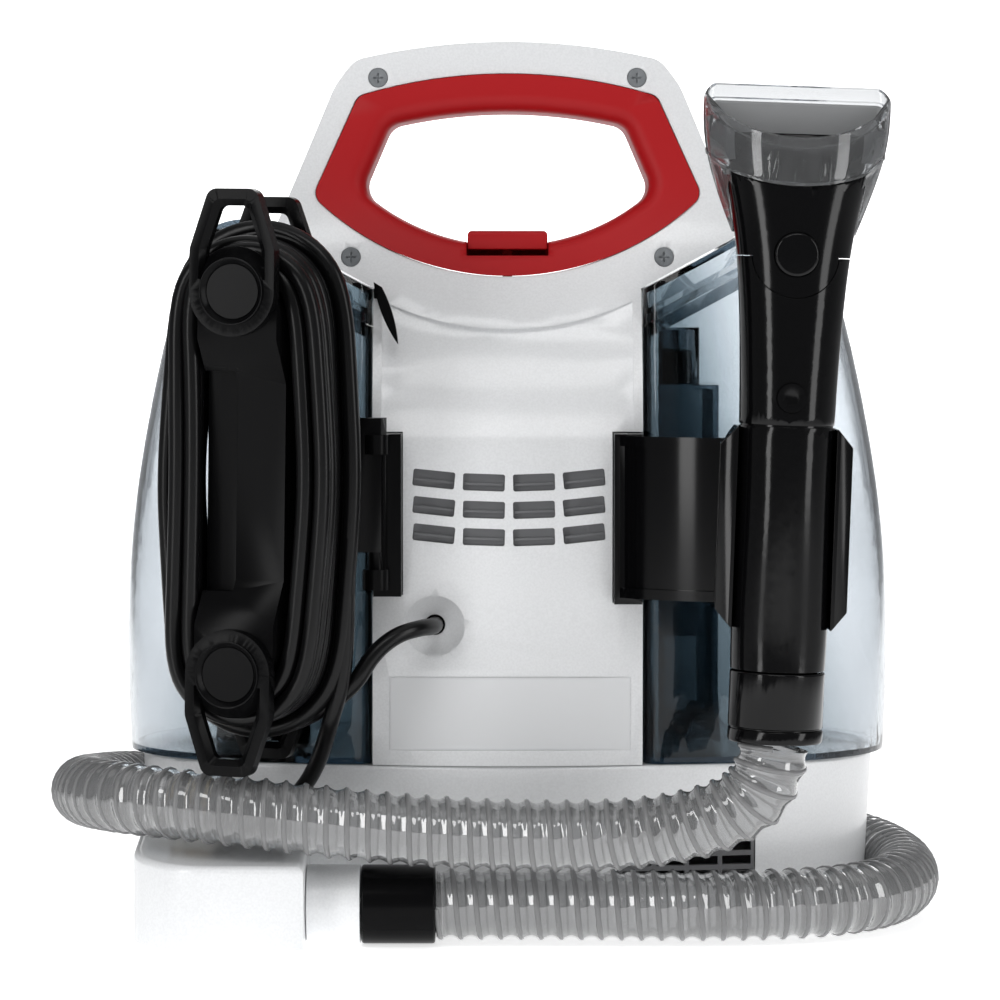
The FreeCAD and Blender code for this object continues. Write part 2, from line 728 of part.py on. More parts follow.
def motor_shaft():
    """Shaft with the suction impeller on its lower end."""
    shaft = cylinder(shaft_radius, 132, (0, 0, 18))
    pieces = [shaft, cylinder(38.0, 2.0, (0, 0, 20)), cylinder(9.0, 18, (0, 0, 20))]
    for i in range(9):
        vane = box(8.0, 37.0, -0.8, 0.8, 21.5, 34.0)
        vane.rotate(V(0, 0, 0), V(0, 0, 1), i * 40)
        pieces.append(vane)
    return fuse(pieces)


def pump_body():
    """Water pump against the front cover, above the deck."""
    body = box(-20.0, 20.0, 40.0, 76.0, base_top + fit_gap, 104.0)
    body = body.common(tower_body(tower_wall + fit_gap, base_top))
    return body.cut(cylinder(9.06, 24, (0, 46, 87), (0, 1, 0)))


def pump_rotor():
    rotor = cylinder(9.0, 20, (0, 47, 87), (0, 1, 0))
    return rotor.cut(box(-12, 12, 46, 60, 86, 88))


# ---------------------------------------------------------------- tanks
slope_tan = math.tan(head_slope)


def tank_slope_z(x, drop=0.0):
    """Height of the tanks' slanted top at x, lowered square to the slope by drop."""
    return head_low_z + (x - tower_half_width) * slope_tan - (tank_gap + drop) / math.cos(head_slope)


tank_levels = [(60, 153.5, 72.5), (100, 155.0, 73.0), (150, 153.5, 72.5), (200, 146.5, 68.5), (235, 139.0, 63.0),
               (270, 129.0, 56.0), (300, 118.0, 49.0)]


def tank_block(inset):
    """Solid right-hand tank outline, made smaller all round by inset."""
    ovals = [oval_wire(w - inset, d - inset, 0.85 * d - inset, z) for z, w, d in tank_levels]
    body = Part.makeLoft(ovals, True, False)
    x0, z0 = tower_half_width + tank_gap + inset, base_top + inset
    xb = 106.0
    b = (xb, 0, tank_slope_z(xb, inset))
    c = (136.5 - inset, 0, 248.0)
    m = (126.0 - 0.7 * inset, 0, 273.5 - 0.7 * inset)
    profile = Part.Wire([
        line((x0, 0, z0), (x0, 0, tank_slope_z(x0, inset))),
        line((x0, 0, tank_slope_z(x0, inset)), b),
        arc(b, m, c),
        line(c, (190, 0, z0)),
        line((190, 0, z0), (x0, 0, z0)),
    ])
    prism_xz = prism(profile, (0, 200, 0))
    prism_xz.translate(V(0, -100, 0))
    body = body.common(prism_xz)
    upright = [e for e in body.Edges if abs(e.tangentAt(e.FirstParameter).z) > 0.98 and e.BoundBox.XMax < x0 + 1]
    return body.makeFillet(tank_corner_radius - 0.8 * inset, upright)


def slope_slab(depth_low, depth_high):
    """Everything between two planes parallel to the slanted top, given as depths below it."""
    a, b = tank_slope_z(0, depth_low), tank_slope_z(0, depth_high)
    rise = 300 * slope_tan
    corners = [(0, a), (300, a + rise), (300, b + rise), (0, b), (0, a)]
    ring = Part.makePolygon([V(x, -100, z) for x, z in corners])
    return prism(ring, (0, 200, 0))


def tank_shell():
    body = tank_block(0.0).cut(tank_block(tank_wall))
    return body.common(slope_slab(400.0, lid_depth + 0.15))


def tank_lid():
    """Clear lid that closes the slanted top, with a skirt inside the tank."""
    lid = tank_block(0.0).cut(tank_block(tank_wall)).common(slope_slab(lid_depth - 0.15, -60.0))
    skirt = tank_block(tank_wall + 0.3).cut(tank_block(tank_wall + 1.8))
    skirt = skirt.common(slope_slab(lid_depth + lid_skirt, lid_depth - 4.0))
    bridge = tank_block(tank_wall - 0.6).cut(tank_block(tank_wall + 1.8))
    bridge = bridge.common(slope_slab(lid_depth - 3.0, lid_depth - 5.0))
    return fuse([lid, skirt, bridge])


def clean_tank():
    """Left tank, with the neck for its filling cap in the bottom."""
    tank = mirrored(tank_shell())
    neck = cylinder(cap_radius + 2.5, 12.0, (-cap_x, 0, base_top))
    return tank.fuse(neck).cut(cylinder(cap_radius + 0.3, 30, (-cap_x, 0, base_top - 5))).removeSplitter()


def clean_tank_cap():
    """Round filling cap with its grip bar and valve stem."""
    cap = cylinder(cap_radius, 9.0, (-cap_x, 0, base_top + 0.2))
    cap = cap.cut(cylinder(cap_radius - 3, 5.0, (-cap_x, 0, base_top - 1)))
    bar = box(-cap_x - 13.5, -cap_x + 13.5, -2.0, 2.0, base_top + 0.2, base_top + 5)
    return fuse([cap, bar, cylinder(4.0, 9.0, (-cap_x, 0, base_top + 9))])


riser_x0, riser_x1 = 59.0, 85.0
float_x, float_y = 68.5, -8.0


def dirty_riser():
    """Upright separator duct in the dirty tank, with the float's dome on top."""
    duct = box(riser_x0, riser_x1, -22, 22, base_top + tank_wall + fit_gap, 215.0)
    duct = duct.cut(box(riser_x0 + 2, riser_x1 - 2, -20, 20, base_top, 213.0))
    duct = duct.cut(box(riser_x0 + 6, riser_x1 - 6, 18, 30, 80, 110))
    dome = cylinder(9.3, 24.0, (float_x, float_y, 214.0)).cut(cylinder(7.6, 22.0, (float_x, float_y, 214.9)))
    rod = cylinder(1.5, 23.5, (float_x, float_y, 214.0))
    return fuse([duct, dome, rod])


def dirty_float():
    ball = cylinder(6.5, 13.0, (float_x, float_y, 215.3))
    return ball.cut(cylinder(1.56, 20.0, (float_x, float_y, 212.0)))


# ---------------------------------------------------------------- cord reel
def racetrack(radius, spacing, y0, y1):
    """Upright rounded bar outline in the reel's frame."""
    h = spacing / 2
    wire = Part.Wire([
        arc((radius, y0, h), (0, y0, h + radius), (-radius, y0, h)),
        line((-radius, y0, h), (-radius, y0, -h)),
        arc((-radius, y0, -h), (0, y0, -h - radius), (radius, y0, -h)),
        line((radius, y0, -h), (radius, y0, h)),
    ])
    return prism(wire, (0, y1 - y0, 0))


def loop_solid(y0, y1, reach):
    """Loop pointing up from a round end: straight sides, sloping shoulders and a flat tip."""
    r, t = hook_radius, hook_tip_half
    outline = rounded_polygon([(-r, y0, 0), (r, y0, 0), (r, y0, hook_shoulder_z), (t, y0, reach), (-t, y0, reach),
                               (-r, y0, hook_shoulder_z)], [0.2, 0.2, 7.0, 4.5, 4.5, 7.0])
    disc = cylinder(r, y1 - y0, (0, y0, 0), (0, 1, 0))
    return fuse([disc, prism(outline, (0, y1 - y0, 0))])


def window_wire(y, side, waist, tip, tip_z):
    """Outline of a loop's window, from beside the knob up to the tip bar."""
    return rounded_polygon([(-side, y, 4.5), (side, y, 4.5), (waist, y, hook_shoulder_z), (tip, y, tip_z),
                            (-tip, y, tip_z), (-waist, y, hook_shoulder_z)], [0.2, 0.2, 5.0, 3.0, 3.0, 5.0])


def loop_window(y0, y1, reach):
    """Window through a loop, with a sloping edge towards the front."""
    wide = window_wire(y0 - 0.01, 13.4, 13.2, 7.0, reach - 3.9)
    narrow = window_wire(y0 + 2.4, 12.6, 10.9, 5.3, reach - 6.4)
    return Part.makeLoft([wide, narrow], True, True).fuse(prism(narrow, (0, y1 - y0, 0)))


def at_post(shape, top):
    """Moves a shape made round the origin to the upper or lower reel post."""
    copy = shape.copy()
    if not top:
        copy.rotate(V(0, 0, 0), V(0, 1, 0), 180)
    copy.translate(V(0, 0, reel_post_spacing / 2 * (1 if top else -1)))
    return copy


def reel_frame():
    """Fixed spool: core with a sunk middle, back plate and the two fixed loops behind the cord."""
    core = racetrack(reel_core_half, reel_arc_spacing, reel_front, reel_back + 1)
    plate = racetrack(23.0, reel_arc_spacing, reel_back, reel_back + reel_plate)
    back = reel_back + reel_plate
    loop = loop_solid(reel_back, back, loop_reach).cut(loop_window(reel_back, back - 1.5, loop_reach))
    frame = fuse([core, plate] + [at_post(loop, top) for top in (True, False)])
    sunk = Part.makePolygon([V(-20, y, z) for y, z in [
        (reel_front - 1, -55.0), (reel_front, -54.3), (reel_face, -37.5), (reel_face, 37.5), (reel_front, 54.3),
        (reel_front - 1, 55.0), (reel_front - 1, -55.0)]])
    step = box(-20.0, -3.6, reel_front - 1, reel_face + 1.2, -42.0, 42.0)
    frame = frame.cut(prism(sunk, (40, 0, 0))).cut(step)
    for top in (True, False):
        pin_hole = cylinder(hook_pin_radius + 0.05, 20.0, (0, reel_front - 5, 0), (0, 1, 0))
        frame = frame.cut(at_post(pin_hole, top))
    return place_reel(frame)


def cord_hook(top):
    """Swivelling loop with its countersunk knob and the pin that turns in the core."""
    y1 = reel_front - fit_gap
    y0 = y1 - hook_thickness
    loop = loop_solid(y0, y1, hook_reach).cut(loop_window(y0, y1 + 1, hook_reach))
    flank = cone(hook_radius, knob_radius, 4.6, (0, y0 + 4.6, 0), (0, -1, 0))
    foot = cylinder(hook_radius, hook_thickness - 4.6, (0, y0 + 4.6, 0), (0, 1, 0))
    rim = cylinder(knob_radius, 1.2, (0, y0 - 1.0, 0), (0, 1, 0))
    dish = cone(knob_radius - 0.5, knob_face_radius + 0.2, 2.0, (0, y0 - 1.01, 0), (0, 1, 0))
    seat = cylinder(knob_face_radius + 0.2, 3.4, (0, y0 - 1.01, 0), (0, 1, 0))
    pin = cylinder(hook_pin_radius, 13.0, (0, y1 - 1, 0), (0, 1, 0))
    return place_reel(at_post(fuse([loop, flank, foot, rim]).cut(dish).cut(seat).fuse(pin).removeSplitter(), top))


def hook_cap(top):
    """Round cap at the bottom of a knob's dish."""
    y0 = reel_front - fit_gap - hook_thickness
    return place_reel(at_post(cylinder(knob_face_radius, 1.4, (0, y0 + 0.98, 0), (0, 1, 0)), top))


def reel_bracket():
    """Arm that plugs into the left recess and holds the spool from behind."""
    g = 0.4
    block = box(-tower_half_width + 0.7, -recess_x - g, -86, -56, bracket_low_z, recess_z1 - g)
    x, y = bracket_rod_x, bracket_rod_y
    barrel = fuse([cylinder(3.0, 58.0, (x, y, bracket_low_z + 4.0)), cylinder(5.2, 8.0, (x, y, bracket_low_z + 2.9)),
                   cylinder(5.2, 7.5, (x, y, 190.0)), box(x - 2.0, x + 4.0, y, -84.0, bracket_low_z + 6.0, 194.0)])
    pad = place_reel(box(0.0, 23.5, reel_back + reel_plate + fit_gap, reel_back + reel_plate + 4.0, -30, 26))
    arm_line = [(-74.0, -92.5), (-49.0, -91.5), (-47.0, -85.0), (-74.0, -87.0)]
    arm = prism(Part.makePolygon([V(x, y, 152) for x, y in arm_line + arm_line[:1]]), (0, 0, 52))
    whole = fuse([block, barrel, arm, pad])
    spool_back = reel_back + reel_plate + fit_gap
    spool = place_reel(racetrack(23.0 + fit_gap, reel_arc_spacing, reel_front, spool_back))
    return whole.cut(spool)


def cord_coil():
    """Outer shape of the wound supply cord."""
    ring = racetrack(coil_radius_out, reel_arc_spacing, coil_front, coil_back).cut(
        racetrack(coil_radius_in, reel_arc_spacing, coil_front - 1, coil_back + 1))
    ring = ring.makeFillet(5.0, [e for e in ring.Edges if abs(e.tangentAt(e.FirstParameter).y) < 0.5])
    return place_reel(ring)


def cord_gland():
    """Strain relief in the floor of the rear cover's funnel, tapering along the cord inside."""
    front = outlet_floor_y - 0.8
    stub = cylinder(gland_radius, 7.0, (outlet_x, front, outlet_z), (0, 1, 0))
    sleeve = cone(gland_radius, cord_diameter / 2 + 0.2, 16.0, (outlet_x, front + 6.9, outlet_z), (0, 1, 0))
    return fuse([stub, sleeve])


cord_lead_points = [(outlet_x, outlet_floor_y - 0.95, outlet_z), (outlet_x, -80, outlet_z + 0.3),
                    (-33.5, -91, 122.8), (-43.5, -97.5, 120.4), (-52.5, -101, 112.8), (-59.0, -102.9, 101.2)]
cord_tail_points = [(-67.9, -104.4, 89.0), (-70.2, -97.5, 80.6), (-73.5, -89, 70.5), (-79, -82.5, 60),
                    (-85.2, -79.2, 53.2)]


def cord_lead():
    return tube(cord_lead_points, cord_diameter / 2, "cord lead")


def cord_tail():
    return tube(cord_tail_points, cord_diameter / 2, "cord tail")


plug_centre = (-103.0, -77.0, 48.0)


def plug_body():
    x, y, z = plug_centre
    body = box(x - 13, x + 9, y - 8, y + 8, z - 7, z + 7)
    body = body.makeFillet(3.0, body.Edges)
    neck = cone(3.6, 5.5, 9.0, (x + 16, y - 2.0, z + 4), (-1, 0.2, -0.35))
    return fuse([body, neck])


def plug_blades():
    x, y, z = plug_centre
    hole = cylinder(1.6, 40, (x - 26, y - 20, z), (0, 1, 0))
    blades = [box(x - 30, x - 13.3, y + side * 6.35 - 0.75, y + side * 6.35 + 0.75, z - 3.2, z + 3.2).cut(hole)
              for side in (-1, 1)]
    return Part.makeCompound(blades)


def plug_hook():
    """Small curved fin beside the rear cover that the plug end tucks under."""
    y = -65.0
    wire = Part.Wire([
        arc((-52.6, y, 256.5), (-49.2, y, 243.5), (-43.0, y, 232.0)),
        arc((-43.0, y, 232.0), (-45.0, y, 243.5), (-49.4, y, 254.5)),
        line((-49.4, y, 254.5), (-52.6, y, 256.5)),
    ])
    stalk = box(-52.6, -49.6, y + 4, -30.0, 250.0, 254.0)
    return fuse([prism(wire, (0, 4.5, 0)), stalk]).cut(tower_body(-fit_gap, base_top))


# ---------------------------------------------------------------- tool holder and tool
clip_half_height = 38.0
clip_radius_in = wand_radius + clip_clearance
clip_radius_out = clip_radius_in + clip_wall


def tool_clip():
    """C-shaped holder behind the wand, with chamfered side wings, and the curved panel that carries it."""
    h = clip_half_height
    shell = cylinder(clip_radius_out, 2 * h, (0, 0, -h)).cut(box(-40, 40, -60, 0, -h - 1, h + 1))
    near, far = clip_radius_in, clip_radius_out + 2
    outline = [(near, 1), (far, 1), (far, -5), (near + 1.5, -8), (near, -8), (near, 1)]
    wing = Part.makePolygon([V(x, y, -h) for x, y in outline])
    wing = prism(wing, (0, 0, 2 * h))
    clip = fuse([shell, wing, wing.mirror(V(0, 0, 0), V(1, 0, 0))])
    for side in (-1, 1):
        for end in (-1, 1):
            corner = Part.makePolygon([V(side * 26, -20, end * h), V(side * 19.0, -20, end * h),
                                       V(side * 26, -20, end * (h - 8)), V(side * 26, -20, end * h)])
            clip = clip.cut(prism(corner, (0, 60, 0)))
    return place_tool(clip.cut(cylinder(clip_radius_in, 2 * h + 2, (0, 0, -h - 1))))


def tool_bracket():
    """Arm that plugs into the right recess and carries the tool clip."""
    g = 0.4
    block = box(recess_x + g, tower_half_width - 0.7, -86, -56, recess_z0 + g, recess_z1 - g)
    flanges = []
    for z0, z1, grow in ((recess_z0 + 3, recess_z1 - 1, 0.0), (recess_z0 + 3, recess_z0 + 7, 2.0),
                         (recess_z1 - 5, recess_z1 - 1, 2.0)):
        flanges.append(prism(Part.Wire([
            arc((43.5, -84.0 - grow, z0), (62, -99.0 - grow, z0), (84, -107.0 - grow, z0)),
            line((84, -107.0 - grow, z0), (84, -101.5, z0)),
            arc((84, -101.5, z0), (63, -93.5, z0), (46.0, -80.0, z0)),
            line((46.0, -80.0, z0), (43.5, -84.0 - grow, z0)),
        ]), (0, 0, z1 - z0)))
    bridge = box(80, 108, -106.0, -101.5, recess_z0 + 6, recess_z1 - 4)
    hollow = cylinder(clip_radius_out + fit_gap, 2 * clip_half_height + 6, (0, 0, -clip_half_height - 3))
    return fuse([block, bridge] + flanges).cut(place_tool(hollow)).removeSplitter()


def oval_ring(a, b, z):
    if abs(a - b) < 0.01:
        return Part.Wire(Part.makeCircle(a, V(0, 0, z)))
    return Part.Wire(Part.Ellipse(V(a, 0, z), V(0, b, z), V(0, 0, z)).toShape())


wand_levels = [(-53.5, 17.9, 17.6), (-10, 17.95, 17.7), (36, 18.0, 17.7), (64, 18.8, 17.1), (89, 20.2, 16.5),
               (106, 21.9, 16.1), (117, 23.6, 16.0), (130, 26.2, 15.9), (148, 28.6, 15.7)]
trigger_pivot = (0.0, 21.0, 78.0)
button_radius, button_z = 8.3, 103.0
button_depth, button_travel = 3.6, 1.5
eye_z = 49.5
seam_radius, seam_z = 16.5, 102.0
seam_gap = 0.35
nose_half_width, nose_half_depth, nose_top = 16.4, 13.0, 117.0
mouth_z, mouth_slope = 146.0, 0.70
band_z, band_slope = 128.7, 0.47
head_front = 17.0


def wand_loft(inset):
    """Solid of the wand and of the black part of the head, made smaller all round by inset."""
    return Part.makeLoft([oval_ring(a - inset, b - inset, z) for z, a, b in wand_levels], True, False)


def above_seam(gap):
    """Everything above the seam between wand and head, which dips round the release button at the rear."""
    high = box(-60, 60, -60, 60, seam_z + gap, 300)
    dip = cylinder(seam_radius - gap, 60, (0, -60, button_z), (0, 1, 0))
    return high.fuse(dip)


def above_plane(z_front, slope):
    """Everything above a plane that rises from the head's front towards its back."""
    reach = 60.0
    low, high = z_front + slope * (head_front - reach), z_front + slope * (head_front + reach)
    side = Part.makePolygon([V(-reach, -reach, low), V(-reach, reach, high), V(-reach, reach, 300),
                             V(-reach, -reach, 300), V(-reach, -reach, low)])
    return prism(side, (2 * reach, 0, 0))


def wand_nose(gap):
    """Straight oval end of the wand that the head slides over, flat behind the button."""
    nose = prism(oval_ring(nose_half_width + gap, nose_half_depth + gap, 80.0), (0, 0, nose_top + gap - 80.0))
    flat = -head_front + button_depth + button_travel + 0.5
    return nose.cut(box(-30, 30, -30, flat - gap, 84.0, 140))


def wand_body():
    """Hollow black handle of the tool with the nose for the head and ears for the trigger on its far side."""
    body = wand_loft(0.0).cut(wand_loft(wand_wall)).cut(above_seam(0.0)).common(box(-60, 60, -60, 60, -60, 105))
    nose = wand_nose(0.0).cut(wand_loft(wand_wall + 3.0))
    collar = wand_loft(wand_wall - 0.2).cut(wand_loft(wand_wall + 3.4)).common(box(-60, 60, -60, 60, 76.0, 82.0))
    _, py, pz = trigger_pivot
    for side in (-1, 1):
        x0, x1 = sorted((side * 7.4, side * 10.4))
        ear = box(x0, x1, 8.0, py + 4, pz - 5, pz + 5).cut(wand_loft(wand_wall - 0.5))
        body = body.fuse(ear)
    body = fuse([body, collar, nose])
    body = body.cut(cylinder(1.5 + 0.05, 40, (-20, py, pz), (1, 0, 0)))
    body = body.cut(box(-3.2, 3.2, 8, 30, 54, 66))
    parting = box(-40, 40, -40, 40, clip_half_height + 0.4, clip_half_height + 1.2)
    body = body.cut(parting.cut(wand_loft(0.5)))
    body = body.cut(cylinder(5.7, 20, (0, -30, eye_z), (0, 1, 0)))
    return place_tool(body.removeSplitter())


def release_button():
    disc = cylinder(button_radius, button_depth, (0, -head_front, button_z), (0, 1, 0))
    rim = [e for e in disc.Edges if e.BoundBox.YMax < -head_front + 0.1]
    return place_tool(disc.makeFillet(1.2, rim))


def pivot_cap():
    """Round eye on the rear of the wand that covers the valve's screw."""
    cap = cylinder(5.5, 7.0, (0, -18.3, eye_z), (0, 1, 0))
    return place_tool(cap.cut(cylinder(2.6, 1.2, (0, -18.4, eye_z), (0, 1, 0))))


def spray_trigger():
    """Lever on the far side of the wand that opens the water valve."""
    _, py, pz = trigger_pivot
    boss = cylinder(3.2, 14.0, (-7, py, pz), (1, 0, 0))
    plate = box(-7, 7, 23.6, 27.6, clip_half_height + 2.4, pz)
    web = box(-7, 7, py, 27.6, pz - 5, pz)
    rib = box(-2, 2, 16.0, 24.0, 57, 62)
    return place_tool(fuse([boss, plate, web, rib]).cut(cylinder(1.56, 20, (-10, py, pz), (1, 0, 0))))


def trigger_pin():
    _, py, pz = trigger_pivot
    return place_tool(cylinder(1.5, 20.6, (-10.3, py, pz), (1, 0, 0)))


def spray_valve():
    """Water valve inside the wand, with the tube that runs to the head."""
    body = cylinder(6.0, 26.0, (0, 0, 46)).fuse(box(-3, 3, -3, 9.0, 56, 63))
    tube_up = cylinder(2.5, 42.0, (0, 0, 71))
    shelf = box(-30, 30, -3, 3, 46, 49).common(wand_loft(wand_wall + 0.3))
    return place_tool(fuse([body, tube_up, shelf]))


def hose_collar():
    """Black swivel collar that joins the hose to the wand."""
    collar = cylinder(wand_radius, 27.0, (0, 0, -81))
    collar = collar.makeFillet(1.0, [e for e in collar.Edges if e.Length > 50])
    lip = cylinder(13.0, 10.0, (0, 0, -55))
    groove = cylinder(wand_radius + 1, 0.8, (0, 0, -76)).cut(cylinder(wand_radius - 0.7, 0.8, (0, 0, -76)))
    return place_tool(fuse([collar, lip]).cut(groove).cut(cylinder(11.0, 60, (0, 0, -90))))


# (height, front corner x and y, side x and y, back y) of the head's D-shaped sections
head_levels = [(104, 15.0, -11.0, 20.8, 1.0, 15.0), (112, 17.8, -9.8, 23.8, 3.0, 14.8),
               (122, 21.3, -8.3, 27.7, 5.5, 14.2), (132, 25.0, -6.8, 31.2, 7.0, 13.8),
               (146, 28.0, -5.0, 34.6, 7.5, 13.0), (158, 28.6, -4.8, 35.4, 7.5, 13.0),
               (172, 28.8, -4.8, 35.4, 7.5, 13.0)]
head_wall = 1.9
head_tip_z = 168.0
skirt_low_z = 111.0
throat_top = 138.0
nape_top = 134.0


def head_ring(level, inset):
    """D-shaped section: bowed front, slanted sides and a flat back with round corners."""
    z, cx, cy, sx, sy, back = level
    cx, cy, sx, back = cx - 0.55 * inset, cy + 0.8 * inset, sx - inset, back - inset
    r = back - sy
    turn = r * math.sqrt(0.5)
    return Part.Wire([
        arc((-cx, cy, z), (0, -head_front + inset, z), (cx, cy, z)),
        line((cx, cy, z), (sx, sy, z)),
        arc((sx, sy, z), (sx - r + turn, sy + turn, z), (sx - r, back, z)),
        line((sx - r, back, z), (-sx + r, back, z)),
        arc((-sx + r, back, z), (-sx + r - turn, sy + turn, z), (-sx, sy, z)),
        line((-sx, sy, z), (-cx, cy, z)),
    ])


def head_solid(inset):
    """Outer shape of the head at the given wall depth, with the two top corners rounded."""
    body = Part.makeLoft([head_ring(level, inset) for level in head_levels], True, False)
    w, r = head_levels[-1][3] - inset + 0.1, 8.0 - inset
    top = head_tip_z - inset
    frame = rounded_polygon([(-w, -60, 90), (w, -60, 90), (w, -60, top), (-w, -60, top)], [1.0, 1.0, r, r])
    return body.common(prism(frame, (0, 120, 0)))


def head_window():
    """Clear suction head: slanted mouth, bowed front band with ribs and a bead, and tapering side skirts."""
    shell = head_solid(0.0).cut(head_solid(head_wall))
    lip_room = head_solid(head_wall - 0.9).common(above_plane(mouth_z - 4.4, mouth_slope))
    shell = shell.cut(lip_room).cut(above_plane(mouth_z, mouth_slope))
    band = above_plane(band_z, band_slope)
    skirts = box(-60, 60, -6.0, 60, skirt_low_z, 300)
    shell = shell.common(band.fuse(skirts))
    bead = head_solid(-0.4).cut(head_solid(0.4)).common(band).cut(above_plane(band_z + 1.1, band_slope))
    ribs = []
    for centre in (-9.9, 0.0, 9.9):
        for side in (-1.25, 1.25):
            ribs.append(box(centre + side - 0.3, centre + side + 0.3, -20, -8, band_z + 0.5, band_z + 12.5))
    raised = head_solid(-0.35).cut(head_solid(0.4))
    trim = [rib.common(raised) for rib in ribs]
    window = fuse([shell, bead] + trim)
    below_band = wand_loft(-fit_gap).cut(above_plane(band_z, band_slope))
    return place_tool(window.cut(below_band.common(box(-60, 60, -60, 60, 60, nape_top + fit_gap))))


def head_body():
    """Black shell of the head, from the seam round the button up to the throat inside the clear window."""
    band = above_plane(band_z - fit_gap, band_slope)
    outside = wand_loft(0.0).cut(band).common(above_seam(seam_gap)).common(box(-60, 60, -60, 60, 80, nape_top))
    throat = wand_loft(2.4).common(head_solid(head_wall + fit_gap)).common(box(-60, 60, -60, 60, 120, 160))
    tongue = box(-60, 60, -60, -5.5, throat_top - 1, 160).cut(above_plane(mouth_z - 1.4, mouth_slope))
    throat = throat.common(box(-60, 60, -60, 60, 119, throat_top).fuse(tongue))
    body = outside.fuse(throat).cut(wand_loft(4.4)).cut(wand_nose(seam_gap))
    body = body.cut(cylinder(button_radius + 0.3, 12, (0, -22, button_z), (0, 1, 0)))
    return place_tool(body.removeSplitter())


def head_liner():
    """Grey inner duct wall behind the mouth."""
    skin = head_solid(head_wall + fit_gap).cut(head_solid(head_wall + fit_gap + 1.2))
    skin = skin.common(box(-60, 60, -3.5, 60, throat_top + fit_gap, 200))
    skin = skin.cut(above_plane(mouth_z - 5.0, mouth_slope))
    return place_tool(skin)


def spray_tip():
    return place_tool(cylinder(3.0, 14.0, (0, 8.0, 122)))


# ---------------------------------------------------------------- build
nodes = {
    "base_pan": base_pan, "base_shroud": base_shroud, "exhaust_grille": exhaust_grille,
    "rear_cover": rear_cover, "front_cover": front_cover, "cover_screws": cover_screws, "label_plate": label_plate,
    "vent_louvre": vent_louvre, "grip_ring": grip_ring, "power_button": power_button, "power_switch": power_switch,
    "port_housing": port_housing, "port_pipe": port_pipe, "hose_cuff": hose_cuff, "hose": hose,
    "motor_mount": motor_mount, "fan_housing": fan_housing, "motor_can": motor_can, "motor_shaft": motor_shaft,
    "pump_body": pump_body, "pump_rotor": pump_rotor,
    "clean_tank": clean_tank, "clean_tank_lid": lambda: mirrored(tank_lid()), "clean_tank_cap": clean_tank_cap,
    "dirty_tank": tank_shell, "dirty_tank_lid": tank_lid, "dirty_riser": dirty_riser, "dirty_float": dirty_float,
    "reel_frame": reel_frame, "reel_bracket": reel_bracket,
    "cord_hook_top": lambda: cord_hook(True), "cord_hook_bottom": lambda: cord_hook(False),
    "hook_cap_top": lambda: hook_cap(True), "hook_cap_bottom": lambda: hook_cap(False),
    "cord_coil": cord_coil, "cord_gland": cord_gland, "cord_lead": cord_lead, "cord_tail": cord_tail,
    "plug_body": plug_body, "plug_blades": plug_blades, "plug_hook": plug_hook,
    "tool_clip": tool_clip, "tool_bracket": tool_bracket, "hose_collar": hose_collar, "wand_body": wand_body,
    "spray_trigger": spray_trigger, "trigger_pin": trigger_pin, "spray_valve": spray_valve,
    "release_button": release_button, "pivot_cap": pivot_cap, "head_window": head_window, "head_body": head_body,
    "head_liner": head_liner, "spray_tip": spray_tip,
}

for name, make in nodes.items():
    shape = make()
    shape.exportStep("parts/" + name + ".step")
    print(name, "ok" if shape.isValid() else "NOT VALID", len(shape.Solids), "solid", round(shape.Volume))
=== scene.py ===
import json
import math

import bmesh
import bpy
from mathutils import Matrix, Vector

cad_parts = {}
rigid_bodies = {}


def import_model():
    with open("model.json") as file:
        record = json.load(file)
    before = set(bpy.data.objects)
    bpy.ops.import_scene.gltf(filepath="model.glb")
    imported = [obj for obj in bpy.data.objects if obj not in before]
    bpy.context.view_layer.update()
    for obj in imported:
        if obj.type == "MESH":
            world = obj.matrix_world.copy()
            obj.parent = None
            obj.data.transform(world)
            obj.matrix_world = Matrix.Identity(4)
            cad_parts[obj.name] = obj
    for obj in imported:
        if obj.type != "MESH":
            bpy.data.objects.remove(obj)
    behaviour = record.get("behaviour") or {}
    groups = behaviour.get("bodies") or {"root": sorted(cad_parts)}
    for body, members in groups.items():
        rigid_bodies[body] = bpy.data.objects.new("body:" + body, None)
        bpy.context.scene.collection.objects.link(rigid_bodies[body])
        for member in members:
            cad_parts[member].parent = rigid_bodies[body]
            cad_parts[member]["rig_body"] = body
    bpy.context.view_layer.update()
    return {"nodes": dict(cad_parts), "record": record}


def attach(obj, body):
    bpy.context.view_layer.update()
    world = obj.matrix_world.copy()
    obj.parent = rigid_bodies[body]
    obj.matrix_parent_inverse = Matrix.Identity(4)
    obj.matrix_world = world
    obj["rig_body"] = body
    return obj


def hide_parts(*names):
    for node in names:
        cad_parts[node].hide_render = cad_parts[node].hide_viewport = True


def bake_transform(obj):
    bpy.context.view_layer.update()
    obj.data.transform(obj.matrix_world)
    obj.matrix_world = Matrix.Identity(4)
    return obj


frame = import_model()
nodes = frame["nodes"]
mm = 0.001
print("frame loaded,", len(nodes), "nodes")


# camera, level with the rear panel and a little above it
viewFacts = {"eye": (-3, -1676, 257), "aim": (-3, -76, 171.5), "lens": 147.7, "sensor": 36}

eye, aim = Vector(viewFacts["eye"]) * mm, Vector(viewFacts["aim"]) * mm
cameraData = bpy.data.cameras.new("rearCamera")
cameraData.lens, cameraData.sensor_width = viewFacts["lens"], viewFacts["sensor"]
camera = bpy.data.objects.new("rearCamera", cameraData)
camera.location = eye
camera.rotation_euler = (aim - eye).to_track_quat("-Z", "Y").to_euler()
bpy.context.scene.collection.objects.link(camera)
bpy.context.scene.camera = camera
print("camera placed")


def setInputs(node, values):
    for label, value in values.items():
        if label in node.inputs:
            node.inputs[label].default_value = value


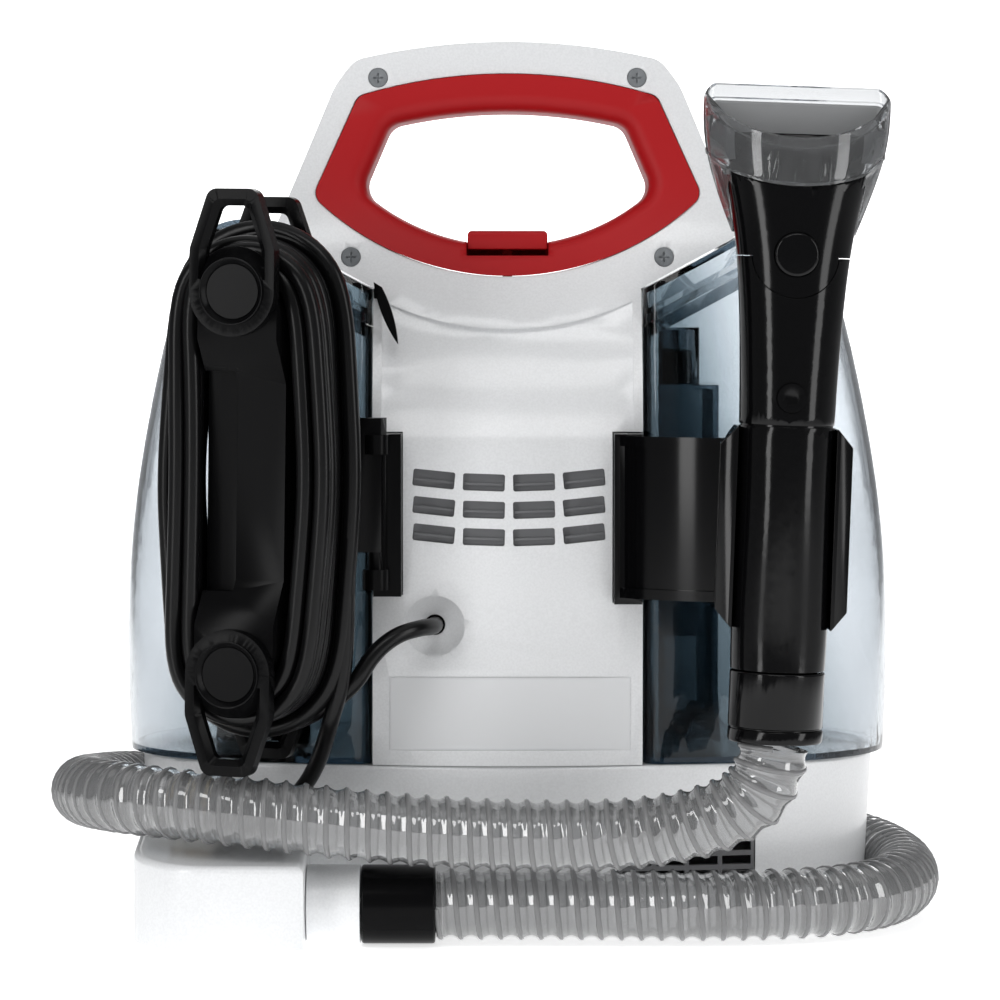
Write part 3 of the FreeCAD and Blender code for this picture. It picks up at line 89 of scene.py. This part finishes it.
def addMath(tree, operation, *sources):
    node = tree.nodes.new("ShaderNodeMath")
    node.operation = operation
    for socket, source in zip(node.inputs, sources):
        if isinstance(source, float):
            socket.default_value = source
        else:
            tree.links.new(source, socket)
    return node.outputs[0]


def addRange(tree, source, fromMin, fromMax, toMin, toMax):
    node = tree.nodes.new("ShaderNodeMapRange")
    setInputs(node, {"From Min": fromMin, "From Max": fromMax, "To Min": toMin, "To Max": toMax})
    tree.links.new(source, node.inputs["Value"])
    return node.outputs["Result"]


# an object's own coordinates, taken apart into x, y and z
def addAxes(tree):
    place = tree.nodes.new("ShaderNodeTexCoord")
    axes = tree.nodes.new("ShaderNodeSeparateXYZ")
    tree.links.new(place.outputs["Object"], axes.inputs["Vector"])
    return axes.outputs


# plain surface finish; grain gives fine moulded texture in object space, in metres
def makeFinish(name, colour, rough, grain=0.0, grainSize=0.6, speckle=0.0, **more):
    finish = bpy.data.materials.new(name)
    finish.use_nodes = True
    tree = finish.node_tree
    shader = tree.nodes["Principled BSDF"]
    setInputs(shader, {"Base Color": (*colour, 1.0), "Roughness": rough, **more})
    if grain or speckle:
        place = tree.nodes.new("ShaderNodeTexCoord")
        grainNoise = tree.nodes.new("ShaderNodeTexNoise")
        setInputs(grainNoise, {"Scale": 1.0 / (grainSize * mm), "Detail": 2.0, "Roughness": 0.5})
        tree.links.new(place.outputs["Object"], grainNoise.inputs["Vector"])
    if grain:
        bump = tree.nodes.new("ShaderNodeBump")
        setInputs(bump, {"Strength": grain, "Distance": 0.1 * mm})
        tree.links.new(grainNoise.outputs["Fac"], bump.inputs["Height"])
        tree.links.new(bump.outputs["Normal"], shader.inputs["Normal"])
    if speckle:
        ramp = tree.nodes.new("ShaderNodeValToRGB")
        ramp.color_ramp.elements[0].position, ramp.color_ramp.elements[1].position = 0.35, 0.65
        ramp.color_ramp.elements[0].color = (*[c * (1 - speckle) for c in colour], 1.0)
        ramp.color_ramp.elements[1].color = (*[min(1.0, c * (1 + speckle)) for c in colour], 1.0)
        tree.links.new(grainNoise.outputs["Fac"], ramp.inputs["Fac"])
        tree.links.new(ramp.outputs["Color"], shader.inputs["Base Color"])
    return finish


finishes = {
    "white_shell": makeFinish("pearlWhite", (0.85, 0.86, 0.87), 0.28, speckle=0.03, grainSize=0.9,
                              **{"Coat Weight": 0.35, "Coat Roughness": 0.1}),
    "dark_pan": makeFinish("darkPan", (0.03, 0.03, 0.032), 0.5, grain=0.2),
    "grey_louvre": makeFinish("louvreGrey", (0.15, 0.152, 0.158), 0.35, grain=0.1),
    "screw_grey": makeFinish("screwGrey", (0.30, 0.315, 0.33), 0.38, Metallic=0.6),
    "label_grey": makeFinish("blankLabel", (0.80, 0.81, 0.82), 0.35),
    "red_grip": makeFinish("softRed", (0.43, 0.004, 0.007), 0.5, grain=0.12, grainSize=0.35,
                           **{"Specular IOR Level": 0.3}),
    "black_satin": makeFinish("satinBlack", (0.003, 0.003, 0.0033), 0.24, grain=0.08, grainSize=0.3,
                              **{"Specular IOR Level": 0.08}),
    "motor_steel": makeFinish("plainSteel", (0.5, 0.5, 0.52), 0.35, Metallic=1.0),
    "rotor_brass": makeFinish("turnedBrass", (0.65, 0.48, 0.22), 0.3, Metallic=1.0),
    "smoke_tank": makeFinish("smokyTankPaintedShade", (0.60, 0.64, 0.68), 0.05, **{"Transmission Weight": 1.0, "IOR": 1.35}),
    "float_black": makeFinish("floatBlack", (0.03, 0.03, 0.033), 0.4),
    "cord_black": makeFinish("cordBlack", (0.003, 0.003, 0.0033), 0.28, **{"Specular IOR Level": 0.25}),
    "blade_brass": makeFinish("contactBrass", (0.72, 0.58, 0.33), 0.25, Metallic=1.0),
    "black_gloss": makeFinish("glossBlack", (0.002, 0.002, 0.0023), 0.12, **{"Specular IOR Level": 0.26}),
    "grey_liner": makeFinish("linerGrey", (0.30, 0.305, 0.31), 0.45),
    "clear_head": makeFinish("clearHead", (0.62, 0.63, 0.64), 0.04, **{"Transmission Weight": 0.92, "IOR": 1.45}),
    "hose_clear": makeFinish("smokyHose", (0.46, 0.465, 0.47), 0.1,
                             **{"Transmission Weight": 0.7, "IOR": 1.3, "Coat Weight": 1.0, "Coat Roughness": 0.02,
                                "Coat IOR": 1.9}),
}
# tanks: smoky tint with painted shade, darker near the tower and low down where the shaded tower wall shows through,
# clearer towards their outer ends; the two end tones come first
tankShadeFacts = {
    "heightShare": 0.25, "rampStart": 0.0125, "rampEnd": 0.1775,
    "shadeTones": [(0.46, (0.15, 0.19, 0.215, 1.0)), (0.94, (0.78, 0.80, 0.82, 1.0)), (0.70, (0.33, 0.38, 0.41, 1.0)),
              (0.82, (0.60, 0.635, 0.66, 1.0))],
}
tankTree = finishes["smoke_tank"].node_tree
tankAxes = addAxes(tankTree)
tankSide = addMath(tankTree, "ABSOLUTE", tankAxes["X"])
tankSpan = addMath(tankTree, "MULTIPLY_ADD", tankAxes["Z"], tankShadeFacts["heightShare"], tankSide)
tankShadeShare = addRange(tankTree, tankSpan, tankShadeFacts["rampStart"], tankShadeFacts["rampEnd"], 0.0, 1.0)
# painted shade: this ramp darkens the tank colour towards the tower and towards the bottom
tankShadeRamp = tankTree.nodes.new("ShaderNodeValToRGB")
tankTree.links.new(tankShadeShare, tankShadeRamp.inputs["Fac"])
tankTree.links.new(tankShadeRamp.outputs["Color"], tankTree.nodes["Principled BSDF"].inputs["Base Color"])
rampStops = tankShadeRamp.color_ramp.elements
for stop, (position, tone) in zip(rampStops, tankShadeFacts["shadeTones"]):
    stop.position, stop.color = position, tone
for position, tone in tankShadeFacts["shadeTones"][2:]:
    rampStops.new(position).color = tone


# light lost inside clear plastic, by the metre
def addTint(finish, colour, density):
    tree = finish.node_tree
    tint = tree.nodes.new("ShaderNodeVolumeAbsorption")
    setInputs(tint, {"Color": (*colour, 1.0), "Density": density})
    tree.links.new(tint.outputs["Volume"], tree.nodes["Material Output"].inputs["Volume"])


addTint(finishes["smoke_tank"], (0.52, 0.59, 0.64), 55.0)
addTint(finishes["clear_head"], (0.62, 0.64, 0.65), 130.0)

ribFinish = makeFinish("hoseRib", (0.27, 0.272, 0.275), 0.12, **{"Transmission Weight": 0.25, "IOR": 1.5})
print("finishes made")

slotOf = {part["node"]: part["material_slot"] for part in frame["record"]["subparts"]}


def giveFinish(piece, slotName):
    piece.data.materials.clear()
    piece.data.materials.append(finishes[slotName])


def addPiece(name, mesh, body, slotName, replaced=()):
    piece = bpy.data.objects.new(name, mesh)
    bpy.context.scene.collection.objects.link(piece)
    giveFinish(piece, slotName)
    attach(piece, body)
    if replaced:
        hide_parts(*replaced)
    return piece


# hose: clear wall with a rib wound round it, swept along the route by Geometry Nodes
hoseFacts = {
    "route": [
        (-27.6, -95, 15.6), (28, -95, 15.6), (85, -97, 15), (135, -84, 15.2), (160, -45, 15.8), (162.5, 10, 17),
        (146, 62, 19), (103, 91, 21.5), (48, 98, 25), (-12, 99, 29), (-70, 95, 34), (-125, 84, 39.5),
        (-158, 50, 45), (-169.5, 0, 49.5), (-170, -48, 54), (-153, -92, 57), (-115, -113, 55.5),
        (-70, -116.5, 50.5), (-25, -115.5, 46), (22, -116, 44.6), (60, -120.5, 47.2), (85.5, -125.5, 55),
        (98.7, -127.7, 66.8), (101.0, -128, 81)],
    "wallRadius": 12.9, "wallWave": 0.6, "wallStep": 1.0, "wallSides": 28,
    "ribRadius": 1.15, "ribPitch": 7.8, "ribStep": 0.31, "ribSides": 8,
}


def routeCurve(name, points, depth=0.0):
    curve = bpy.data.curves.new(name, "CURVE")
    curve.dimensions = "3D"
    spline = curve.splines.new("NURBS")
    spline.points.add(len(points) - 1)
    for place, point in zip(points, spline.points):
        point.co = (*(Vector(place) * mm), 1.0)
    spline.order_u = 3
    spline.use_endpoint_u = True
    spline.resolution_u = 16
    curve.bevel_depth = depth * mm
    return curve


def curvePoints(curve):
    holder = bpy.data.objects.new("routeHolder", curve)
    bpy.context.scene.collection.objects.link(holder)
    graph = bpy.context.evaluated_depsgraph_get()
    mesh = bpy.data.meshes.new_from_object(holder.evaluated_get(graph))
    places = [v.co.copy() for v in mesh.vertices]
    bpy.data.objects.remove(holder)
    return places


# node tree helpers
def newTree(name, sizes):
    tree = bpy.data.node_groups.new(name, "GeometryNodeTree")
    tree.interface.new_socket("Geometry", in_out="INPUT", socket_type="NodeSocketGeometry")
    tree.interface.new_socket("Geometry", in_out="OUTPUT", socket_type="NodeSocketGeometry")
    for label, value in sizes.items():
        socket = tree.interface.new_socket(label, in_out="INPUT", socket_type="NodeSocketFloat")
        socket.default_value = value
    return tree, tree.nodes.new("NodeGroupInput"), tree.nodes.new("NodeGroupOutput")


def addNode(tree, kind, links=None, values=None, **settings):
    node = tree.nodes.new(kind)
    for label, value in settings.items():
        setattr(node, label, value)
    for label, value in (values or {}).items():
        node.inputs[label].default_value = value
    for label, source in (links or {}).items():
        tree.links.new(source, node.inputs[label])
    return node


def bakeTree(name, data, tree, sizes):
    holder = bpy.data.objects.new(name + "Holder", data)
    bpy.context.scene.collection.objects.link(holder)
    modifier = holder.modifiers.new(name, "NODES")
    modifier.node_group = tree
    for item in tree.interface.items_tree:
        if item.in_out == "INPUT" and item.name in sizes:
            modifier[item.identifier] = sizes[item.name]
    graph = bpy.context.evaluated_depsgraph_get()
    mesh = bpy.data.meshes.new_from_object(holder.evaluated_get(graph))
    mesh.name = name
    bpy.data.objects.remove(holder)
    return mesh


def makeHoseTree(wallFinish, coilFinish):
    sizes = {"Wall Radius": 0.0131, "Wall Wave": 0.0004, "Rib Radius": 0.0012, "Rib Pitch": 0.0078}
    tree, given, result = newTree("ribbedHose", sizes)
    route, wallRadius = given.outputs["Geometry"], given.outputs["Wall Radius"]

    def add(kind, links=None, values=None, **settings):
        return addNode(tree, kind, links, values, **settings)

    def number(operation, links, values=None):
        return add("ShaderNodeMath", links, values, operation=operation).outputs[0]

    def vector(operation, links):
        return add("ShaderNodeVectorMath", links, operation=operation).outputs[0]

    # rib: points turned round the path as they go along it
    ribPath = add("GeometryNodeResampleCurve", {"Curve": route}, {"Length": hoseFacts["ribStep"] * mm}, mode="LENGTH")
    along = add("GeometryNodeSplineParameter")
    turns = number("DIVIDE", {0: along.outputs["Length"], 1: given.outputs["Rib Pitch"]})
    angle = number("MULTIPLY", {0: turns}, {1: 2 * math.pi})
    sine, cosine = number("SINE", {0: angle}), number("COSINE", {0: angle})
    tangent, normal = add("GeometryNodeInputTangent").outputs[0], add("GeometryNodeInputNormal").outputs[0]
    across = vector("CROSS_PRODUCT", {0: tangent, 1: normal})
    partA, partB = vector("SCALE", {0: normal, "Scale": cosine}), vector("SCALE", {0: across, "Scale": sine})
    spoke = vector("ADD", {0: partA, 1: partB})
    offset = vector("SCALE", {0: spoke, "Scale": wallRadius})
    wound = add("GeometryNodeSetPosition", {"Geometry": ribPath.outputs["Curve"], "Offset": offset})
    ribRing = add("GeometryNodeCurvePrimitiveCircle", {"Radius": given.outputs["Rib Radius"]},
                  {"Resolution": hoseFacts["ribSides"]})
    rib = add("GeometryNodeCurveToMesh", {
        "Curve": wound.outputs["Geometry"], "Profile Curve": ribRing.outputs["Curve"]}, {"Fill Caps": True})
    # wall: a tube that rises to the rib and dips between its turns
    wallPath = add("GeometryNodeResampleCurve", {"Curve": route}, {"Length": hoseFacts["wallStep"] * mm}, mode="LENGTH")
    kept = add("GeometryNodeCaptureAttribute")
    kept.capture_items.new("VECTOR", "spoke")
    tree.links.new(wallPath.outputs["Curve"], kept.inputs["Geometry"])
    tree.links.new(spoke, kept.inputs[1])
    wallRing = add("GeometryNodeCurvePrimitiveCircle", {"Radius": wallRadius}, {"Resolution": hoseFacts["wallSides"]})
    tube = add("GeometryNodeCurveToMesh", {
        "Curve": kept.outputs["Geometry"], "Profile Curve": wallRing.outputs["Curve"]})
    outward = add("GeometryNodeInputNormal").outputs[0]
    nearness = add("ShaderNodeVectorMath", {0: outward, 1: kept.outputs[1]}, operation="DOT_PRODUCT").outputs["Value"]
    rise = number("MULTIPLY", {0: nearness, 1: given.outputs["Wall Wave"]})
    swell = vector("SCALE", {0: outward, "Scale": rise})
    wall = add("GeometryNodeSetPosition", {"Geometry": tube.outputs["Mesh"], "Offset": swell})
    both = add("GeometryNodeJoinGeometry")
    for shape, finish in ((wall.outputs["Geometry"], wallFinish), (rib.outputs["Mesh"], coilFinish)):
        painted = add("GeometryNodeSetMaterial", {"Geometry": shape}, {"Material": finish})
        tree.links.new(painted.outputs["Geometry"], both.inputs["Geometry"])
    smooth = add("GeometryNodeSetShadeSmooth", {"Geometry": both.outputs["Geometry"]})
    real = add("GeometryNodeRealizeInstances", {"Geometry": smooth.outputs["Geometry"]})
    tree.links.new(real.outputs["Geometry"], result.inputs["Geometry"])
    return tree


hoseRoute = routeCurve("hoseRoute", hoseFacts["route"])
hosePlaces = curvePoints(hoseRoute)
hoseTree = makeHoseTree(finishes["hose_clear"], ribFinish)
hoseMesh = bakeTree("suctionHose", hoseRoute, hoseTree, {
    "Wall Radius": hoseFacts["wallRadius"] * mm, "Wall Wave": hoseFacts["wallWave"] * mm,
    "Rib Radius": hoseFacts["ribRadius"] * mm, "Rib Pitch": hoseFacts["ribPitch"] * mm})
hose = bpy.data.objects.new("suctionHose", hoseMesh)
bpy.context.scene.collection.objects.link(hose)
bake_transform(hose)
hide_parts("hose")


# supply cord: lead from the strain relief, the winding on the reel and the tail with its plug
cordFacts = {
    "lead": [(-28.6, -67.2, 121.9), (-28.6, -80, 122.2), (-33.5, -91, 122.8), (-43.5, -97.5, 120.4),
             (-52.5, -101, 112.8), (-59.0, -102.9, 101.2)],
    "tail": [(-67.9, -104.4, 89.0), (-70.2, -97.5, 80.6), (-73.5, -89, 70.5), (-79, -82.5, 60), (-85.2, -79.2, 53.2)],
    "radius": 3.3, "sides": 4, "steps": 6,
}
reelFacts = {
    "centre": (-97.1, -102.5, 180.5), "yaw": -17.0, "lean": 0.9, "spacing": 126.0,
    # arc radius, right side and left side distance at mid height, and depth of each turn, from the lead to the tail
    "turns": [(33.4, 36.0, 37.0, 10.8), (20.9, 24.6, 28.6, 10.6), (20.9, 25.0, 26.4, 4.2), (20.9, 25.4, 24.0, -2.2),
              (20.9, 25.8, 21.6, -8.6), (20.9, 26.0, 19.6, -14.6), (27.6, 33.4, 26.4, -14.6), (27.6, 33.0, 28.8, -8.0),
              (27.6, 32.4, 31.0, -1.6), (27.6, 31.4, 33.4, 4.6), (33.6, 38.4, 38.6, 4.4)],
}


def reelPlace(x, y, z):
    lean, yaw = math.radians(reelFacts["lean"]), math.radians(reelFacts["yaw"])
    cx, cy, cz = reelFacts["centre"]
    x, z = x * math.cos(lean) + z * math.sin(lean), z * math.cos(lean) - x * math.sin(lean)
    return (cx + x * math.cos(yaw) - y * math.sin(yaw), cy + x * math.sin(yaw) + y * math.cos(yaw), cz + z)


# each turn goes round the bottom from right to left, up the left side, over the top and down the right side
def windingPoints():
    places = []
    half = reelFacts["spacing"] / 2
    turns = reelFacts["turns"]
    arcPoints = 5  # on each half circle, set a little out so that the curve between them keeps the radius
    arcSteps = [math.pi * (k + 0.5) / arcPoints for k in range(arcPoints)]
    spread = 1 / math.cos(math.pi / (2 * arcPoints))
    for index, (radius, right, left, depth) in enumerate(turns):
        nextRadius, nextRight, _, nextDepth = turns[min(index + 1, len(turns) - 1)]
        wobble = 0.3 * math.sin(index * 2.3)
        for turn in arcSteps if index else arcSteps[1:]:
            places.append(reelPlace(radius * spread * math.cos(turn), depth, -half - radius * spread * math.sin(turn)))
        for share, height in ((0.6, -0.55), (1.0, wobble * 0.1), (0.6, 0.55)):
            places.append(reelPlace(-(radius + (left - radius) * share) + wobble * share, depth, half * height))
        for step, turn in enumerate(arcSteps):
            change = (step + 1) / len(arcSteps)
            r = radius + (nextRadius - radius) * change
            y = depth + (nextDepth - depth) * change
            places.append(reelPlace(-r * spread * math.cos(turn), y, half + r * spread * math.sin(turn)))
        for share, height in ((0.6, 0.55), (1.0, 0.0), (0.6, -0.55)):
            side = nextRadius + (nextRight - nextRadius) * share + wobble * share
            places.append(reelPlace(side, nextDepth, half * height))
    lastRadius, lastDepth = turns[-1][0], turns[-1][3]
    places.append(reelPlace(lastRadius * 1.06, lastDepth + 1.5, -half - 10))
    return places


cordRoute = cordFacts["lead"] + windingPoints() + cordFacts["tail"]
cordCurve = routeCurve("supplyCord", cordRoute, cordFacts["radius"])
cordCurve.bevel_resolution = cordFacts["sides"]
cordCurve.resolution_u = cordFacts["steps"]
cordCurve.use_fill_caps = True
cordPlaces = curvePoints(routeCurve("cordLine", cordRoute))
supplyCord = bpy.data.objects.new("supplyCord", cordCurve)
bpy.context.scene.collection.objects.link(supplyCord)
giveFinish(supplyCord, "cord_black")
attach(supplyCord, "machine")
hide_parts("cord_lead", "cord_coil", "cord_tail")


# every other visible piece: the frame's own shape, welded, smoothed and given the small edge radius it is moulded with
weldFacts = {"weld": 0.01, "flatWithin": 0.6, "sharpFrom": 33, "roundFrom": 40, "roundSteps": 2}
edgeRadii = {
    "rear_cover": 0.5, "front_cover": 0.5, "base_shroud": 0.5, "port_housing": 0.6, "port_pipe": 0.4, "hose_cuff": 0.5,
    "grip_ring": 0.0, "power_button": 0.5, "vent_louvre": 0.2, "exhaust_grille": 0.25, "cover_screws": 0.25,
    "reel_frame": 0.8, "reel_bracket": 0.8, "cord_hook_top": 0.8, "cord_hook_bottom": 0.8, "hook_cap_top": 0.3,
    "hook_cap_bottom": 0.3, "plug_hook": 0.5, "tool_clip": 0.7, "tool_bracket": 0.7, "hose_collar": 0.6,
    "wand_body": 0.3, "spray_trigger": 0.6, "release_button": 0.3, "pivot_cap": 0.5, "head_window": 0.4,
    "head_body": 0.0, "head_liner": 0.0, "clean_tank": 0.4, "clean_tank_lid": 0.4, "dirty_tank": 0.4,
    "dirty_tank_lid": 0.4, "dirty_riser": 0.3, "dirty_float": 0.5, "clean_tank_cap": 0.5, "cord_gland": 0.4,
    "base_pan": 0.4,
}


def finishedCopy(nodeName, radius):
    mesh = nodes[nodeName].data.copy()
    work = bmesh.new()
    work.from_mesh(mesh)
    bmesh.ops.remove_doubles(work, verts=work.verts, dist=weldFacts["weld"] * mm)
    flatWithin = math.radians(weldFacts["flatWithin"])
    bmesh.ops.dissolve_limit(work, angle_limit=flatWithin, verts=work.verts, edges=work.edges)
    bmesh.ops.triangulate(work, faces=[f for f in work.faces if len(f.verts) > 4])
    work.to_mesh(mesh)
    work.free()
    for polygon in mesh.polygons:
        polygon.use_smooth = True
    mesh.set_sharp_from_angle(angle=math.radians(weldFacts["sharpFrom"]))
    piece = addPiece(nodeName + "Finished", mesh, nodes[nodeName]["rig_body"], slotOf[nodeName], [nodeName])
    if radius:
        bevel = piece.modifiers.new("edgeRadius", "BEVEL")
        bevel.width, bevel.segments = radius * mm, weldFacts["roundSteps"]
        bevel.limit_method, bevel.angle_limit = "ANGLE", math.radians(weldFacts["roundFrom"])
        bevel.harden_normals = True


for nodeName, radius in edgeRadii.items():
    finishedCopy(nodeName, radius)
for nodeName, node in nodes.items():
    if nodeName not in edgeRadii:
        giveFinish(node, slotOf[nodeName])
# the blank label reaches down to the lower edge of its seat
labelFacts = {"edgeBelow": 75, "reach": 0.45}
labelMesh = nodes["label_plate"].data.copy()
for vertex in labelMesh.vertices:
    if vertex.co.z < labelFacts["edgeBelow"] * mm:
        vertex.co.z -= labelFacts["reach"] * mm
addPiece("labelPlateFinished", labelMesh, "machine", "label_grey", ["label_plate"])
print("pieces finished")


# floor, backdrop and light
stageFacts = {
    "reach": 6.0, "drop": 0.0004, "white": (0.93, 0.93, 0.935), "glow": 0.68, "farGlow": 1.05,
    "glowWidth": 0.5, "glowEnd": 1.0, "glowSpread": -0.12, "nearBy": 0.5, "farBy": 1.8,
    "frontFrom": -2.2, "frontBy": -1.3, "sky": (0.97, 0.98, 1.0, 1.0), "skyStrength": 0.18,
    # name: place, target, size, power
    "lamps": {
        "keySoftbox": ((-1.3, -1.5, 0.8), (0, 0, 0.18), (0.4, 1.6), 12),
        "fillSoftbox": ((1.6, -1.1, 0.7), (0, 0, 0.18), (0.5, 1.5), 10),
        "highSoftbox": ((0.0, -1.7, 1.9), (0, 0, 0.15), (1.4, 0.5), 8.5),
        "topSoftbox": ((0.0, -0.1, 1.9), (0, 0, 0.1), (2.2, 1.6), 5),
        "backSoftbox": ((0.5, 1.7, 1.35), (0, 0, 0.2), (1.2, 0.5), 7),
    },
}
bpy.context.scene.view_settings.view_transform = "Standard"
floorMesh = bpy.data.meshes.new("floor")
far, low = stageFacts["reach"], -stageFacts["drop"]
floorMesh.from_pydata([(-far, -far, low), (far, -far, low), (far, far, low), (-far, far, low),
                       (-far, far, far), (far, far, far)], [], [(0, 1, 2, 3), (3, 2, 5, 4)])
floor = bpy.data.objects.new("floor", floorMesh)
bpy.context.scene.collection.objects.link(floor)
paleFloor = makeFinish("paleFloor", stageFacts["white"], 0.7, **{"Emission Color": (1.0, 1.0, 1.0, 1.0)})
floorMesh.materials.append(paleFloor)
# the glow grows towards the backdrop and fades to both sides and to the front, so outlines read against it
floorTree = paleFloor.node_tree
floorAxes = addAxes(floorTree)

floorSide = addMath(floorTree, "ABSOLUTE", floorAxes["X"])
floorSpread = addMath(floorTree, "MULTIPLY_ADD", floorAxes["Y"], stageFacts["glowSpread"], floorSide)
floorFade = addRange(floorTree, floorSpread, stageFacts["glowWidth"], stageFacts["glowEnd"], 1.0, 0.0)
floorDepth = addRange(floorTree, floorAxes["Y"], stageFacts["nearBy"], stageFacts["farBy"],
                      stageFacts["glow"], stageFacts["farGlow"])
floorFront = addRange(floorTree, floorAxes["Y"], stageFacts["frontFrom"], stageFacts["frontBy"], 0.0, 1.0)
floorShade = addMath(floorTree, "MULTIPLY", floorFade, floorFront)
floorGlow = addMath(floorTree, "MULTIPLY", floorShade, floorDepth)
floorTree.links.new(floorGlow, floorTree.nodes["Principled BSDF"].inputs["Emission Strength"])


def addLamp(name, place, target, size, power):
    lamp = bpy.data.lights.new(name, "AREA")
    lamp.shape, lamp.size, lamp.size_y, lamp.energy = "RECTANGLE", size[0], size[1], power
    holder = bpy.data.objects.new(name, lamp)
    holder.location = place
    holder.rotation_euler = (Vector(target) - Vector(place)).to_track_quat("-Z", "Y").to_euler()
    bpy.context.scene.collection.objects.link(holder)


for lampName, lampValues in stageFacts["lamps"].items():
    addLamp(lampName, *lampValues)

world = bpy.data.worlds.new("studio")
world.use_nodes = True
setInputs(world.node_tree.nodes["Background"], {"Color": stageFacts["sky"], "Strength": stageFacts["skyStrength"]})
bpy.context.scene.world = world
print("stage and light placed")
